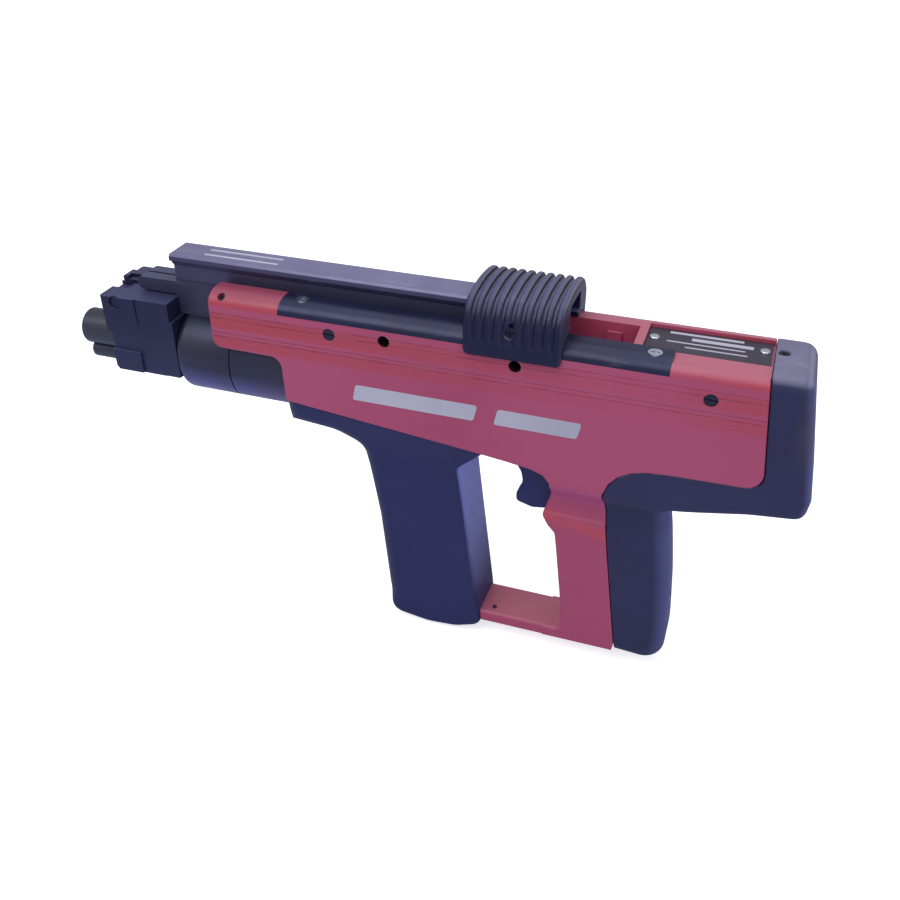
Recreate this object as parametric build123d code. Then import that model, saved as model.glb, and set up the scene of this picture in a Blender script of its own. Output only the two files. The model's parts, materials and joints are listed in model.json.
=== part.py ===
from build123d import *
import os
import math

# Powder-actuated nail gun.  Millimetres, +Z up.
# Origin: centre of the muzzle face, on the barrel axis.
# +X runs rearward along the barrel axis, -Y is the operator's left side.

os.makedirs("parts", exist_ok=True)

# ---------------------------------------------------------------- dimensions
W = 28.0                 # housing half width
TOP = 51.6               # housing top plane
SHOULDER = 44.0          # where the flat side turns into the rounded shoulder
TOP_LOW = 49.6           # lowered top behind the guide strip
HOUSE_FRONT = 111.8      # front edge of the housing
NOTCH_X = 157.2          # front lower notch, vertical edge
NOTCH_Z = 15.6           # front lower notch, upper edge
BREECH_X = 242.5         # breech face inside the housing
SLOT_HALF = 11.2         # top slot, half width
SLOT_END = 364.5         # top slot, rear end
BARREL_R = 26.2          # barrel outside radius
BARREL_DROP = 2.5        # the barrel's outline is drawn downward by this much
BORE_R = 26.3            # bore for the barrel
PISTON_BORE = 10.0       # piston guide bore radius
ROD_R = 4.0              # piston rod radius
MUZZLE_BORE = 4.15       # fastener bore radius
NOSE_R = 11.8            # nose tube outside radius
RAIL_TOP = 64.6
RAIL_BOTTOM = 46.0
RAIL_FRONT = 77.5
RAIL_REAR = 323.0
GRIP_X0, GRIP_X1 = 273.2, 329.2      # cycling grip
GRIP_HALF = 31.5
RIBS = 10                # ribs on the cycling grip
EDGE_R = 0.9             # small radius on the housing's outer edges
HANDLE_HALF = 18.0       # pistol handle half width
BAR_HALF = 15.5          # guard bar half width
BASE_Z = -169.5          # underside of handle and guard bar
STRIP_PITCH = 9.9        # cartridge pitch in the strip
CARTRIDGES = 10
CALIBRE_R = 3.4          # cartridge body radius (6.8 mm)
TRIGGER_PIVOT = (321.0, -28.0)
SEAR_PIVOT = (338.0, -17.0)
LATCH_PIVOT = (41.6, 32.7)
PAWL_PIVOT = (256.0, -56.0)


# ------------------------------------------------------------------- helpers
def bx(x0, x1, y0, y1, z0, z1):
    return Pos((x0 + x1) / 2, (y0 + y1) / 2, (z0 + z1) / 2) * Box(
        abs(x1 - x0), abs(y1 - y0), abs(z1 - z0))


def cx(x0, x1, r, y=0.0, z=0.0):
    return Pos((x0 + x1) / 2, y, z) * (Rot(0, 90, 0) * Cylinder(r, x1 - x0))


def cy(y0, y1, r, x=0.0, z=0.0):
    return Pos(x, (y0 + y1) / 2, z) * (Rot(90, 0, 0) * Cylinder(r, y1 - y0))


def cz(z0, z1, r, x=0.0, y=0.0):
    return Pos(x, y, (z0 + z1) / 2) * Cylinder(r, z1 - z0)


def rounded_edges(pts, put):
    """Closed outline of (u, v[, r]) corners; put maps (u, v) to a 3-D point."""
    P = [(p[0], p[1], p[2] if len(p) > 2 else 0.0) for p in pts]
    n = len(P)
    marks = []
    for i in range(n):
        ax, ay, _ = P[i - 1]
        bxx, byy, r = P[i]
        cxx, cyy, _ = P[(i + 1) % n]
        if r <= 0:
            marks.append(((bxx, byy), None, (bxx, byy)))
            continue
        ux, uy = ax - bxx, ay - byy
        vx, vy = cxx - bxx, cyy - byy
        lu, lv = math.hypot(ux, uy), math.hypot(vx, vy)
        ux, uy, vx, vy = ux / lu, uy / lu, vx / lv, vy / lv
        ang = math.acos(max(-1, min(1, ux * vx + uy * vy)))
        t = r / math.tan(ang / 2)
        t = min(t, 0.49 * lu, 0.49 * lv)
        r2 = t * math.tan(ang / 2)
        p1 = (bxx + ux * t, byy + uy * t)
        p2 = (bxx + vx * t, byy + vy * t)
        mx, my = ux + vx, uy + vy
        lm = math.hypot(mx, my)
        d = r2 / math.sin(ang / 2)
        cxm, cym = bxx + mx / lm * d, byy + my / lm * d
        k = (d - r2)
        mid = (bxx + mx / lm * k, byy + my / lm * k)
        marks.append((p1, mid, p2))
    edges = []
    for i in range(n):
        p1, mid, p2 = marks[i]
        if mid is not None:
            edges.append(Edge.make_three_point_arc(put(*p1), put(*mid), put(*p2)))
        q = marks[(i + 1) % n][0]
        if math.hypot(q[0] - p2[0], q[1] - p2[1]) > 1e-6:
            edges.append(Edge.make_line(put(*p2), put(*q)))
    return edges


def prism_y(pts, y0, y1):
    """Outline in X, Z drawn out along Y."""
    e = rounded_edges(pts, lambda u, v: (u, y0, v))
    return extrude(Face(Wire(e)), amount=y1 - y0, dir=(0, 1, 0))


def prism_x(pts, x0, x1):
    """Outline in Y, Z drawn out along X."""
    e = rounded_edges(pts, lambda u, v: (x0, u, v))
    return extrude(Face(Wire(e)), amount=x1 - x0, dir=(1, 0, 0))


def prism_z(pts, z0, z1):
    """Outline in X, Y drawn out along Z."""
    e = rounded_edges(pts, lambda u, v: (u, v, z0))
    return extrude(Face(Wire(e)), amount=z1 - z0, dir=(0, 0, 1))


def hull_x(x0, x1, r, drop):
    """Round bar along X whose outline is drawn downward by drop."""
    return (cx(x0, x1, r, 0, 0) + cx(x0, x1, r, 0, -drop)
            + bx(x0, x1, -r, r, -drop, 0))


def shoulder_bar(x0, x1, w, zs, ztop, zlow=-60.0, grow=0.0):
    """Body section in Y, Z with rounded top shoulders, along X."""
    a = w + grow
    t = ztop + grow
    run = 11.5
    e = [Edge.make_line((x0, -a, zlow), (x0, -a, zs)),
         Edge.make_bezier((x0, -a, zs), (x0, -a, zs + 0.55 * (t - zs)),
                          (x0, -a + 0.45 * run, t), (x0, -a + run, t)),
         Edge.make_line((x0, -a + run, t), (x0, a - run, t)),
         Edge.make_bezier((x0, a - run, t), (x0, a - 0.45 * run, t),
                          (x0, a, zs + 0.55 * (t - zs)), (x0, a, zs)),
         Edge.make_line((x0, a, zs), (x0, a, zlow)),
         Edge.make_line((x0, a, zlow), (x0, -a, zlow))]
    return extrude(Face(Wire(e)), amount=x1 - x0, dir=(1, 0, 0))


def coil(r_mid, wire, pitch, length):
    """Compression spring along +Z from z=0, with closed plain ends."""
    h = length - 2 * wire
    path = Pos(0, 0, wire) * Helix(pitch, h, r_mid)
    sec = Plane(origin=path @ 0, z_dir=path % 0) * Circle(wire / 2)
    return sweep(sec, path=path)


def coil_x(x0, x1, r_mid, wire, pitch, y=0.0, z=0.0):
    return Pos(x0, y, z) * (Rot(0, 90, 0) * coil(r_mid, wire, pitch, x1 - x0))


def slot_head(r, t, slot_w, slot_d):
    """Screw head with a straight slot; top at z=0, body below."""
    h = Pos(0, 0, -t / 2) * Cylinder(r, t)
    return h - Pos(0, 0, -slot_d / 2 + 0.001) * Box(2 * r + 1, slot_w, slot_d)


def cross_head(r, t, d):
    h = Pos(0, 0, -t / 2) * Cylinder(r, t)
    dome = h
    for a in (0, 90):
        dome = dome - Pos(0, 0, -d / 2 + 0.001) * (
            Rot(0, 0, a) * Box(1.35 * r, 0.30 * r, d))
    return dome


def save(shape, name):
    shape.label = name
    export_step(shape, "parts/" + name + ".step")


def group(*solids):
    out = []
    for s in solids:
        out += list(s.solids()) if hasattr(s, "solids") else [s]
    return Compound(children=out)


def neck():
    """Front-view limit of body and handle: full width down to the body's
    underside, then a smooth hollow neck, then the handle's slight taper."""
    a, h, b = W + 0.02, HANDLE_HALF, BAR_HALF + 0.5
    half = [(a, -36.5), (26.7, -42.3), (22.4, -47.0), (18.0, -51.6), (15.3, -57.0),
            (15.0, -62.5), (16.7, -68.0), (h, -74.5)]
    x0 = 270.0
    left = [(x0, -y, z) for y, z in half]
    right = [(x0, y, z) for y, z in reversed(half)]
    down, up = (0, 0, -1), (0, 0, 1)
    e = [Edge.make_line((x0, -a, 80), left[0]),
         Edge.make_spline(left, tangents=[down, down]),
         Edge.make_line(left[-1], (x0, -h, -92.0)),
         Edge.make_line((x0, -h, -92.0), (x0, -b, BASE_Z + 1)),
         Edge.make_line((x0, -b, BASE_Z + 1), (x0, -b, -190.0)),
         Edge.make_line((x0, -b, -190.0), (x0, b, -190.0)),
         Edge.make_line((x0, b, -190.0), (x0, b, BASE_Z + 1)),
         Edge.make_line((x0, b, BASE_Z + 1), (x0, h, -92.0)),
         Edge.make_line((x0, h, -92.0), right[0]),
         Edge.make_spline(right, tangents=[up, up]),
         Edge.make_line(right[-1], (x0, a, 80)),
         Edge.make_line((x0, a, 80), (x0, -a, 80))]
    return extrude(Face(Wire(e)), amount=240.0, dir=(1, 0, 0))


def soften(solid, picker, r):
    """Round the picked edges, falling back to smaller radii."""
    for k in (1.0, 0.7, 0.45, 0.25):
        try:
            es = picker(solid)
            if not es:
                return solid
            out = fillet(es, r * k)
            if out.is_valid and out.volume > 0:
                return out
        except Exception:
            pass
    return solid


# ------------------------------------------------------------- main_housing
body_outline = [
    (HOUSE_FRONT, 60.0), (HOUSE_FRONT - 0.3, NOTCH_Z - 0.1, 6.0),
    (NOTCH_X - 0.3, NOTCH_Z - 0.6, 7.0), (NOTCH_X + 0.9, -14.3, 3.0),
    (278.6, -26.7), (300.0, -29.2), (315.2, -31.4, 8.0), (322.4, -34.0, 5.0),
    (327.7, -40.3, 2.0), (343.0, -39.8), (358.6, -39.0), (361.2, -31.5),
    (366.5, -25.2), (373.5, -21.2), (382.0, -18.9), (395.2, -17.9),
    (444.9, -16.8, 9.5), (436.5, 60.0)]
body = prism_y(body_outline, -W - 5, W + 5) & shoulder_bar(
    100, 460, W, SHOULDER, TOP)

body = soften(body, lambda s: [
    e for e in s.edges()
    if not (e.bounding_box().size.Y < 0.01 and e.bounding_box().size.Z < 0.01)
    and e.center().Z < 53 and e.center().X < 436
    and not (e.center().Z < -36)], 0.9) if EDGE_R > 0 else body

handle_outline = [
    (327.0, -30.0), (326.3, -40.0), (325.8, -46.7, 8.0), (325.5, -54.7, 8.0),
    (323.4, -62.6, 6.0), (321.2, -70.5, 5.0), (325.2, -77.6, 5.0), (329.8, -82.6, 5.0),
    (331.4, -94.0, 20.0), (339.3, -161.8, 6.0), (326.0, -161.8), (326.0, BASE_Z),
    (372.9, BASE_Z), (373.6, -164.9), (361.3, -75.2), (357.8, -45.9),
    (358.2, -30.0)]
handle = prism_y(handle_outline, -W, W) & neck()
bar_outline = [(282.4, -161.8), (345.0, -161.8), (345.0, BASE_Z),
               (283.4, BASE_Z)]
bar = prism_y(bar_outline, -BAR_HALF, BAR_HALF)
bar = soften(bar, lambda s: [
    e for e in s.edges()
    if abs(abs(e.center().Y) - BAR_HALF) < 0.01 and e.bounding_box().size.X > 40
    and e.center().Z > -165], 2.6)


handle = soften(handle, lambda s: [
    e for e in s.edges()
    if abs(e.center().Y) > 14 and -150 < e.center().Z < -76 and e.center().X < 345
    and e.bounding_box().size.Z > 8], 4.0)
housing = body + handle + bar

# bore, top slot, seats
housing = housing - hull_x(100, BREECH_X, BORE_R, BARREL_DROP)
housing = housing - bx(100, 246.0, -SLOT_HALF, SLOT_HALF, 0, 70)
housing = housing - bx(246.0 - 0.5, SLOT_END, -SLOT_HALF, SLOT_HALF, 28.0, 70)
housing = housing + bx(346.5, 354.5, 9.6, SLOT_HALF + 0.5, 28.0, 46.0)
housing = housing - bx(158.0, 387.2, -W - 3, -SLOT_HALF, 43.8, 70)
housing = housing - bx(369.4, 387.2 + 0.01, -SLOT_HALF - 0.01, 17.0, TOP_LOW, 70)
housing = housing - bx(387.2, 460, -W - 3, 17.0, TOP_LOW, 70)
housing = housing - bx(369.4, 460, -10.3, 17.0, TOP_LOW - 1.05, 70)
# breech block pocket, firing pin bore, rear plug seat
housing = housing - cx(BREECH_X - 1, 262.0, 20.0)
housing = housing - cx(260, 402.0, 8.2)
housing = housing - cx(402.0, 470.0, 10.0)
# trigger and sear pockets
housing = housing - bx(296, 336, -6.6, 6.6, -46, -18)
housing = housing - bx(316, 334.5, -6.6, 6.6, -81, -38)
housing = housing - bx(319, 362.5, -5.6, 5.6, -28.5, -2)
housing = housing - cx(333, 352, 3.6, 0, -60)
# pin holes
housing = housing - cy(-17, 17, 2.0, *TRIGGER_PIVOT)
housing = housing - cy(-17, 17, 2.0, *SEAR_PIVOT)
# side screws (both sides), open guide holes, front set screws
SIDE_SCREWS = [(190.6, 36.3), (410.0, 33.7)]
OPEN_HOLES = [(225.0, 37.4), (303.1, 35.0)]
SCREW_R = 3.9
for sx, sz in SIDE_SCREWS:
    for s in (-1, 1):
        y0, y1 = sorted((s * (W + 1), s * 17.5))
        housing = housing - cy(y0, y1, SCREW_R, sx, sz)
for sx, sz in OPEN_HOLES:
    for s in (-1, 1):
        y0, y1 = sorted((s * (W + 1), s * 16.0))
        housing = housing - cy(y0, y1, 3.7, sx, sz)
SET_X, SET_R = 120.1, 2.6
set_plane = {}
for s in (-1, 1):
    rot = Rot(-s * 52, 0, 0)
    cutter = Pos(SET_X, s * 23.6, 47.6) * (rot * Pos(0, 0, -2.0) * Cylinder(SET_R, 10.0))
    housing = housing - cutter
# shallow lines along the sides, as left by the drawn section
for zline, wide in ((38.9, 1.0), (35.6, 0.9), (26.3, 1.0), (23.6, 0.9)):
    for s in (-1, 1):
        y0, y1 = sorted((s * (W - 0.35), s * (W + 1)))
        housing = housing - bx(100, 460, y0, y1, zline - wide / 2, zline + wide / 2)
# countersunk seats for the guide strip screws
STRIP_SCREWS = [170.3, 377.3]
STRIP_SCREW_Y = -17.6
for sx in STRIP_SCREWS:
    housing = housing - cz(33.0, 50.0, 2.0, sx, STRIP_SCREW_Y)
PLATE_RIVETS = [(373.6, 3.9), (432.6, 5.4)]
for rx, ry in PLATE_RIVETS:
    housing = housing - cz(42.0, 50.0, 1.5, rx, ry)
# holes for the butt pad screws and the guard bar pin
housing = housing - cx(340.0, 380.0, 2.0, 0, -126.0)
housing = housing - cz(BASE_Z - 1, -160, 1.5, 291.0, -9.0)
# --------------------------------------------------------------- guide_strip
strip_body = shoulder_bar(158.15, 387.05, W, SHOULDER, TOP) & bx(
    150, 400, -W - 3, -SLOT_HALF, SHOULDER - 0.02, 70)
for sx in STRIP_SCREWS:
    strip_body = strip_body - cz(40, 60, 2.0, sx, STRIP_SCREW_Y)
    strip_body = strip_body - cz(TOP - 1.5, 60, 4.0, sx, STRIP_SCREW_Y)
save(strip_body, "guide_strip")

screws = []
for sx in STRIP_SCREWS:
    s = Pos(sx, STRIP_SCREW_Y, TOP + 0.15) * cross_head(3.9, 1.65, 1.1)
    s = s + cz(34.0, TOP - 1.4, 2.0, sx, STRIP_SCREW_Y)
    screws.append(s)
save(group(*screws), "guide_strip_screws")

side = []
for sx, sz in SIDE_SCREWS:
    for s in (-1, 1):
        h = Pos(sx, s * (W - 0.5), sz) * (Rot(-s * 90, 0, 0) * (Rot(0, 0, 18 + 22 * s) * slot_head(SCREW_R - 0.1, 9.5, 0.9, 1.1)))
        side.append(h)
save(group(*side), "housing_side_screws")

sets = []
for s in (-1, 1):
    rot = Rot(-s * 52, 0, 0)
    hx = Pos(0, 0, -0.2) * Cylinder(SET_R - 0.05, 5.0)
    hx = hx - Pos(0, 0, 1.4) * extrude(RegularPolygon(1.35, 6), amount=2.0)
    sets.append(Pos(SET_X, s * 23.6, 47.6) * (rot * Pos(0, 0, -3.0) * hx))
save(group(*sets), "front_set_screws")

# ---------------------------------------------------------------- name_plate
plate = bx(369.7, 436.6, -10.0, 16.7, TOP_LOW - 1.05, TOP_LOW)
for rx, ry in PLATE_RIVETS:
    plate = plate - cz(40, 60, 1.5, rx, ry)
save(plate, "name_plate")
riv = []
for rx, ry in PLATE_RIVETS:
    head = cz(TOP_LOW, TOP_LOW + 1.1, 2.9, rx, ry)
    head = soften(head, lambda q: [e for e in q.edges() if e.center().Z > TOP_LOW + 0.9], 0.8)
    riv.append(head + cz(43.0, TOP_LOW + 0.1, 1.5, rx, ry))
save(group(*riv), "name_plate_rivets")

# ------------------------------------------------------------------ butt_pad
GAP = 0.35
pad_outline = [
    (430.0, 51.2), (459.2, 51.2, 9.0), (471.0, -22.0, 2.0), (469.3, -34.5, 11.0),
    (440.0, -37.6, 30.0), (399.0, -45.6, 3.0), (392.0, -50.0), (352.0, -50.0), (352.0, -10.0),
    (430.0, -10.0)]
pad = prism_y(pad_outline, -W + 0.1, W - 0.1)
pad = soften(pad, lambda s: [
    e for e in s.edges()
    if abs(abs(e.center().Y) - (W - 0.1)) < 0.01 and (
        e.center().X > 455 or (e.center().Z > 50 and e.center().X > 440)
        or (e.center().Z < -33 and e.center().X > 400))], 7.5)
back_outline = [
    (352.0, -40.0), (393.9, -40.0), (395.7, -54.0), (399.2, -80.0), (402.7, -108.0),
    (405.9, -145.0), (403.4, -173.5, 15.0), (372.0, -171.5), (352.0, -90.0)]
back = prism_y(back_outline, -HANDLE_HALF, HANDLE_HALF)


def d_section(xa, za, xb, zb):
    """Handle back, round at its rear corners, leaning from (xa, za) to (xb, zb)."""
    return extrude(Face(Wire(rounded_edges(
        [(340, -HANDLE_HALF - 1), (xa, -HANDLE_HALF - 1, 14), (xa, HANDLE_HALF + 1, 14),
         (340, HANDLE_HALF + 1)], lambda u, v: (u, v, za)))),
        amount=math.hypot(xb - xa, za - zb), dir=(xb - xa, 0, zb - za))


d_sec = d_section(393.9, -38.0, 402.9, -108.0) + d_section(
    402.9, -108.0, 405.9, -145.0) + d_section(405.9, -145.0, 404.0, -180.0)
back = back & d_sec & neck()
pad = (pad & neck()) + back
env_body = prism_y(body_outline, -W - 5, W + 5)
env_handle = prism_y([(300.0, -30.0), (300.0, -200.0), (373.3, -200.0),
                      (373.6, -164.9), (361.3, -75.2), (357.8, -45.9),
                      (358.2, -30.0)], -W - 5, W + 5)


def grown(solid, d):
    """The solid swept a little rearward and downward, which leaves a seam."""
    out = solid
    for dx, dz in ((d, 0), (0.7 * d, -0.7 * d), (0, -d)):
        out = out + Pos(dx, 0, dz) * solid
    return out


pad = pad - grown(env_body, GAP) - grown(env_handle, GAP)
pad = pad - cx(430, 445, 10.6)            # room for the rear plug's key
pad = pad - cz(44.0, 60.0, 2.6, 442.3, 5.5)
pad = pad - cx(360.0, 398.0, 2.1, 0, -126.0) - cx(398.0, 420.0, 3.6, 0, -126.0)
pad_solids = sorted(pad.solids(), key=lambda s: -s.volume)
pad = pad_solids[0]
save(pad, "butt_pad")

bs = [cz(45.0, 50.4, 2.55, 442.3, 5.5) - Pos(442.3, 5.5, 49.4) * extrude(RegularPolygon(1.3, 6), amount=2.0)]
s2 = cx(398.0, 402.2, 3.5, 0, -126.0) - Pos(401.0, 0, -126.0) * (Rot(0, 90, 0) * extrude(RegularPolygon(1.8, 6), amount=2.0))
bs.append(s2 + cx(345.0, 398.1, 1.95, 0, -126.0))
save(group(*bs), "butt_pad_screws")

# ---------------------------------------------------------------- front_grip
collar_outline = [
    (155.2, -10.0), (155.2, -33.2), (189.1, -37.5, 20.0), (204.3, -46.5, 4.0),
    (206.0, -60.0), (269.8, -60.0), (268.2, -46.1, 5.0), (279.0, -36.0, 6.0),
    (287.5, -27.0), (287.5, -10.0)]
e = [Edge.make_line((150, -27.7, 0), (150, -27.7, -16)),
     Edge.make_bezier((150, -27.7, -16), (150, -27.7, -30), (150, -19.0, -36), (150, -19.0, -50)),
     Edge.make_line((150, -19.0, -50), (150, -19.0, -70)),
     Edge.make_line((150, -19.0, -70), (150, 19.0, -70)),
     Edge.make_line((150, 19.0, -70), (150, 19.0, -50)),
     Edge.make_bezier((150, 19.0, -50), (150, 19.0, -36), (150, 27.7, -30), (150, 27.7, -16)),
     Edge.make_line((150, 27.7, -16), (150, 27.7, 0)),
     Edge.make_line((150, 27.7, 0), (150, -27.7, 0))]
collar_sec = extrude(Face(Wire(e)), amount=150, dir=(1, 0, 0))
g_collar = prism_y(collar_outline, -30, 30) & collar_sec
grip_outline = [
    (203.6, -46.5), (206.0, -40.0), (267.5, -40.0), (268.2, -46.1), (282.3, -161.2),
    (283.6, -173.5, 8.0), (266.0, -180.0, 30.0), (246.0, -181.4, 40.0), (219.6, -177.5, 11.0),
    (216.2, -157.0, 40.0), (211.0, -98.4, 60.0), (205.0, -61.0, 40.0)]
g_grip = prism_y(grip_outline, -19.0, 19.0)
g_grip = soften(g_grip, lambda s: [
    e for e in s.edges()
    if abs(abs(e.center().Y) - 19.0) < 0.01 and e.center().Z < -47 and e.center().X < 235], 10.0)
g_grip = soften(g_grip, lambda s: [
    e for e in s.edges()
    if abs(abs(e.center().Y) - 19.0) < 0.01 and e.center().Z < -50 and e.center().X > 235], 3.0)
fgrip = g_collar + g_grip
# seat against the underside of the housing, barrel bore, magazine channel
fgrip = fgrip - prism_y(body_outline, -W - 5, W + 5)
fgrip = fgrip - hull_x(150, BREECH_X, BORE_R + 0.05, BARREL_DROP)
fgrip = fgrip - cx(BREECH_X - 1, 262.0, 20.0)
fgrip = fgrip - bx(230.8, 243.7, -4.8, 4.8, -200, 0)
fgrip = fgrip - bx(243.0, 264.0, -4.8, 4.8, -74, -42)
fgrip = fgrip - bx(240.0, 258.0, -4.6, 4.6, -74, -71.9)
fgrip = fgrip - cy(-14, 14, 1.5, *PAWL_PIVOT)
# clearance to the guard bar's front end
fgrip = fgrip - bx(282.3, 300, -BAR_HALF, BAR_HALF, BASE_Z, -161.8)
fg = sorted(fgrip.solids(), key=lambda s: -s.volume)
fgrip = fg[0]
housing = housing - fgrip
hs = sorted(housing.solids(), key=lambda s: -s.volume)
housing = hs[0]

save(housing, "main_housing")
save(fgrip, "front_grip")

bar_pin = cz(-169.0, -160.9, 1.45, 291.0, -9.0)
bar_pin = bar_pin - Pos(291.0, -9.0, -161.3) * extrude(RegularPolygon(0.8, 6), amount=1.0)
save(bar_pin, "guard_bar_pin")

# -------------------------------------------------------------- breech block
block = cx(BREECH_X + 0.1, 262.0, 19.95) - cx(240, 262, 2.05) - cx(254.0, 263, 8.2)
block = block - hull_x(230, BREECH_X, BORE_R, BARREL_DROP)
save(block, "breech_block")

# --------------------------------------------------------------- firing group
# The pin stands forward, its tip just behind the breech face.
pin = cx(243.0, 256.0, 2.0) + cx(255.5, 326.0, 8.1) + cx(325.5, 352.0, 4.0)
pin = pin - bx(309.5, 315.5, -9, 9, -9, -4.8)
pin = pin - cx(326.0, 353.0, 2.0)
pin = soften(pin, lambda s: [e for e in s.edges() if abs(e.center().X - 243.0) < 0.01], 0.9)
save(pin, "firing_pin")
save(coil_x(352.5, 401.5, 6.4, 1.6, 5.2), "firing_spring")
plug = cx(402.0, 416.0, 9.9) + cx(388.0, 402.5, 3.0)
plug = plug - Pos(411.0, 0, 0) * (Rot(0, 90, 0) * extrude(RegularPolygon(4.5, 6), amount=8.0))
save(plug, "rear_plug")

# ------------------------------------------------------------- trigger, sear
tx, tz = TRIGGER_PIVOT
trig_outline = [
    (299.5, -38.5), (302.6, -45.1), (305.4, -50.2), (306.5, -55.7), (305.6, -61.8),
    (303.0, -68.0, 1.5), (304.0, -72.4, 1.8), (312.0, -74.2, 3.0), (323.6, -73.8, 2.0),
    (326.2, -62.0), (327.0, -50.0), (327.4, -38.0), (327.5, -31.0), (327.5, -22.5),
    (320.0, -22.0), (313.0, -26.0), (303.0, -33.0)]
trigger = prism_y(trig_outline, -6.0, 6.0)
trigger = trigger + prism_y([(322.0, -29.5), (344.0, -27.2), (359.0, -26.6, 1.0), (359.0, -21.5, 1.0),
                             (354.5, -21.5), (348.0, -24.5), (326.0, -24.5), (322.0, -24.5)], -4.6, 4.6)
trigger = trigger - cy(-10, 10, 2.06, tx, tz)
trigger = soften(trigger, lambda s: [
    e for e in s.edges()
    if abs(abs(e.center().Y) - 6.0) < 0.01 and e.center().X < 308 and e.center().Z < -44], 2.2)
save(trigger, "trigger")
save(cy(-16, 16, 2.0, tx, tz), "trigger_pin")
save(coil_x(332.6, 351.8, 2.6, 0.9, 2.2, 0, -60), "trigger_spring")

sxp, szp = SEAR_PIVOT
sear_outline = [
    (321.5, -8.7), (325.6, -8.7), (329.0, -12.2), (338.0, -12.4), (352.0, -15.4),
    (360.0, -17.4, 0.8), (360.0, -21.0, 0.8), (350.0, -20.4), (338.0, -21.6), (328.0, -17.6),
    (321.5, -13.4)]
sear = prism_y(sear_outline, -5.2, 5.2) - cy(-10, 10, 2.06, sxp, szp)
save(sear, "sear")
save(cy(-16, 16, 2.0, sxp, szp), "sear_pin")

# ------------------------------------------------------------------ feed pawl
px_, pz_ = PAWL_PIVOT
pawl_outline = [(243.95, -47.2), (246.6, -45.6), (252.0, -51.0), (260.0, -52.4), (260.0, -59.6),
                (252.6, -60.6)]
pawl = prism_y(pawl_outline, -4.2, 4.2) - cy(-10, 10, 1.56, px_, pz_)
save(pawl, "feed_pawl")
save(cy(-13, 13, 1.5, px_, pz_), "feed_pawl_pin")
save(coil_x(256.0, 263.6, 1.8, 0.6, 1.5, 0, -66.0), "feed_pawl_spring")
save(Pos(SEAR_PIVOT[0] + 15.0, 0, -11.6) * coil(2.0, 0.6, 0.8, 3.0), "sear_spring")

# ------------------------------------------------------- cartridge strip body
strip = bx(234.2, 235.8, -4.2, 4.2, -94.5, 5.0)
carts = []
for i in range(CARTRIDGES):
    zc = -i * STRIP_PITCH
    strip = strip - cx(230, 240, CALIBRE_R, 0, zc)
    c = cx(231.6, 241.3, CALIBRE_R, 0, zc) + cx(241.3, 242.3, 4.0, 0, zc)
    carts.append(c)
save(strip, "cartridge_strip")
save(group(*carts), "cartridges")

# ------------------------------------------------------------------ nose tube
tube = cx(0, 84.0, NOSE_R) - cx(-1, 76.0, MUZZLE_BORE) - cx(75.9, 85.0, 5.2)
tube = soften(tube, lambda s: [
    e for e in s.edges() if abs(e.center().X) < 0.01 and e.bounding_box().size.Y > 20], 1.6)
tube = tube - bx(35.5, 52.5, 0.3, 11.7, 9.5, 14)
save(tube, "nose_tube")
plunger = cx(0.6, 52.0, 6.0, 0, -16.6) - cx(0.0, 60.0, NOSE_R + 0.02)
plunger = soften(plunger, lambda s: [
    e for e in s.edges() if abs(e.center().X - 0.6) < 0.01], 1.4)
save(plunger, "nose_plunger")

# ----------------------------------------------------------------- nose block
nb = prism_y([(31.0, 36.5), (31.0, 12.0), (34.8, 11.0), (34.8, -0.4), (34.0, -1.4), (34.8, -14.8),
              (80.5, -14.8), (80.5, 24.0), (78.8, 24.0), (78.8, 36.5)], -23.4, 23.4)
nb = nb + cx(80.0, 84.0, 17.9)
nb = nb + (prism_y([(31.0, 36.5), (31.0, 12.0), (55.3, 12.0), (55.3, 36.5)], -25.0, 25.0)
           & prism_x([(-24.4, 37.0), (-24.1, 24.0), (-23.4, 12.0), (23.4, 12.0), (24.1, 24.0), (24.4, 37.0)], 20, 90))
nb = nb + prism_y([(34.0, -0.4), (54.2, -0.4), (54.2, -14.8), (36.2, -14.8), (34.4, -12.5)], -24.9, 24.9)
nb = nb + bx(34.8, 60.0, -9.5, 9.5, -24.2, -14.0)
# chamfered corners of the front ears
for s in (-1, 1):
    nb = nb - prism_z([(29.0, s * 24.0), (29.0, s * 12.0), (31.0, s * 14.5), (31.01, s * 23.0), (32.2, s * 25.5), (29.0, s * 25.5)], 11.0, 60.0)
nb = nb - bx(29.0, 44.5, -9.8, 0.3, 33.6, 40)
nb = nb - cx(20, 90, NOSE_R)
nb = nb - cx(30, 52.0, 6.0, 0, -16.6)
nb = nb - bx(30.0, 53.5, 0.4, 11.6, 9.0, 60)
nb = nb - cy(-30, 30, 3.0, *LATCH_PIVOT)
nb = nb - cy(-30, -21.6, 4.4, *LATCH_PIVOT) - cy(21.6, 30, 4.4, *LATCH_PIVOT)
nb = nb - bx(53.4, 60.0, 3.4, 8.6, 17.8, 23.2)
nbs = sorted(nb.solids(), key=lambda s: -s.volume)
nb = nbs[0]
save(nb, "nose_block")
lp = cy(-23.1, 23.1, 3.0, *LATCH_PIVOT)
for s in (-1, 1):
    y0, y1 = sorted((s * 21.6, s * 23.1))
    lp = lp + cy(y0, y1, 4.1, *LATCH_PIVOT)
save(lp, "nose_latch_pin")

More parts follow.
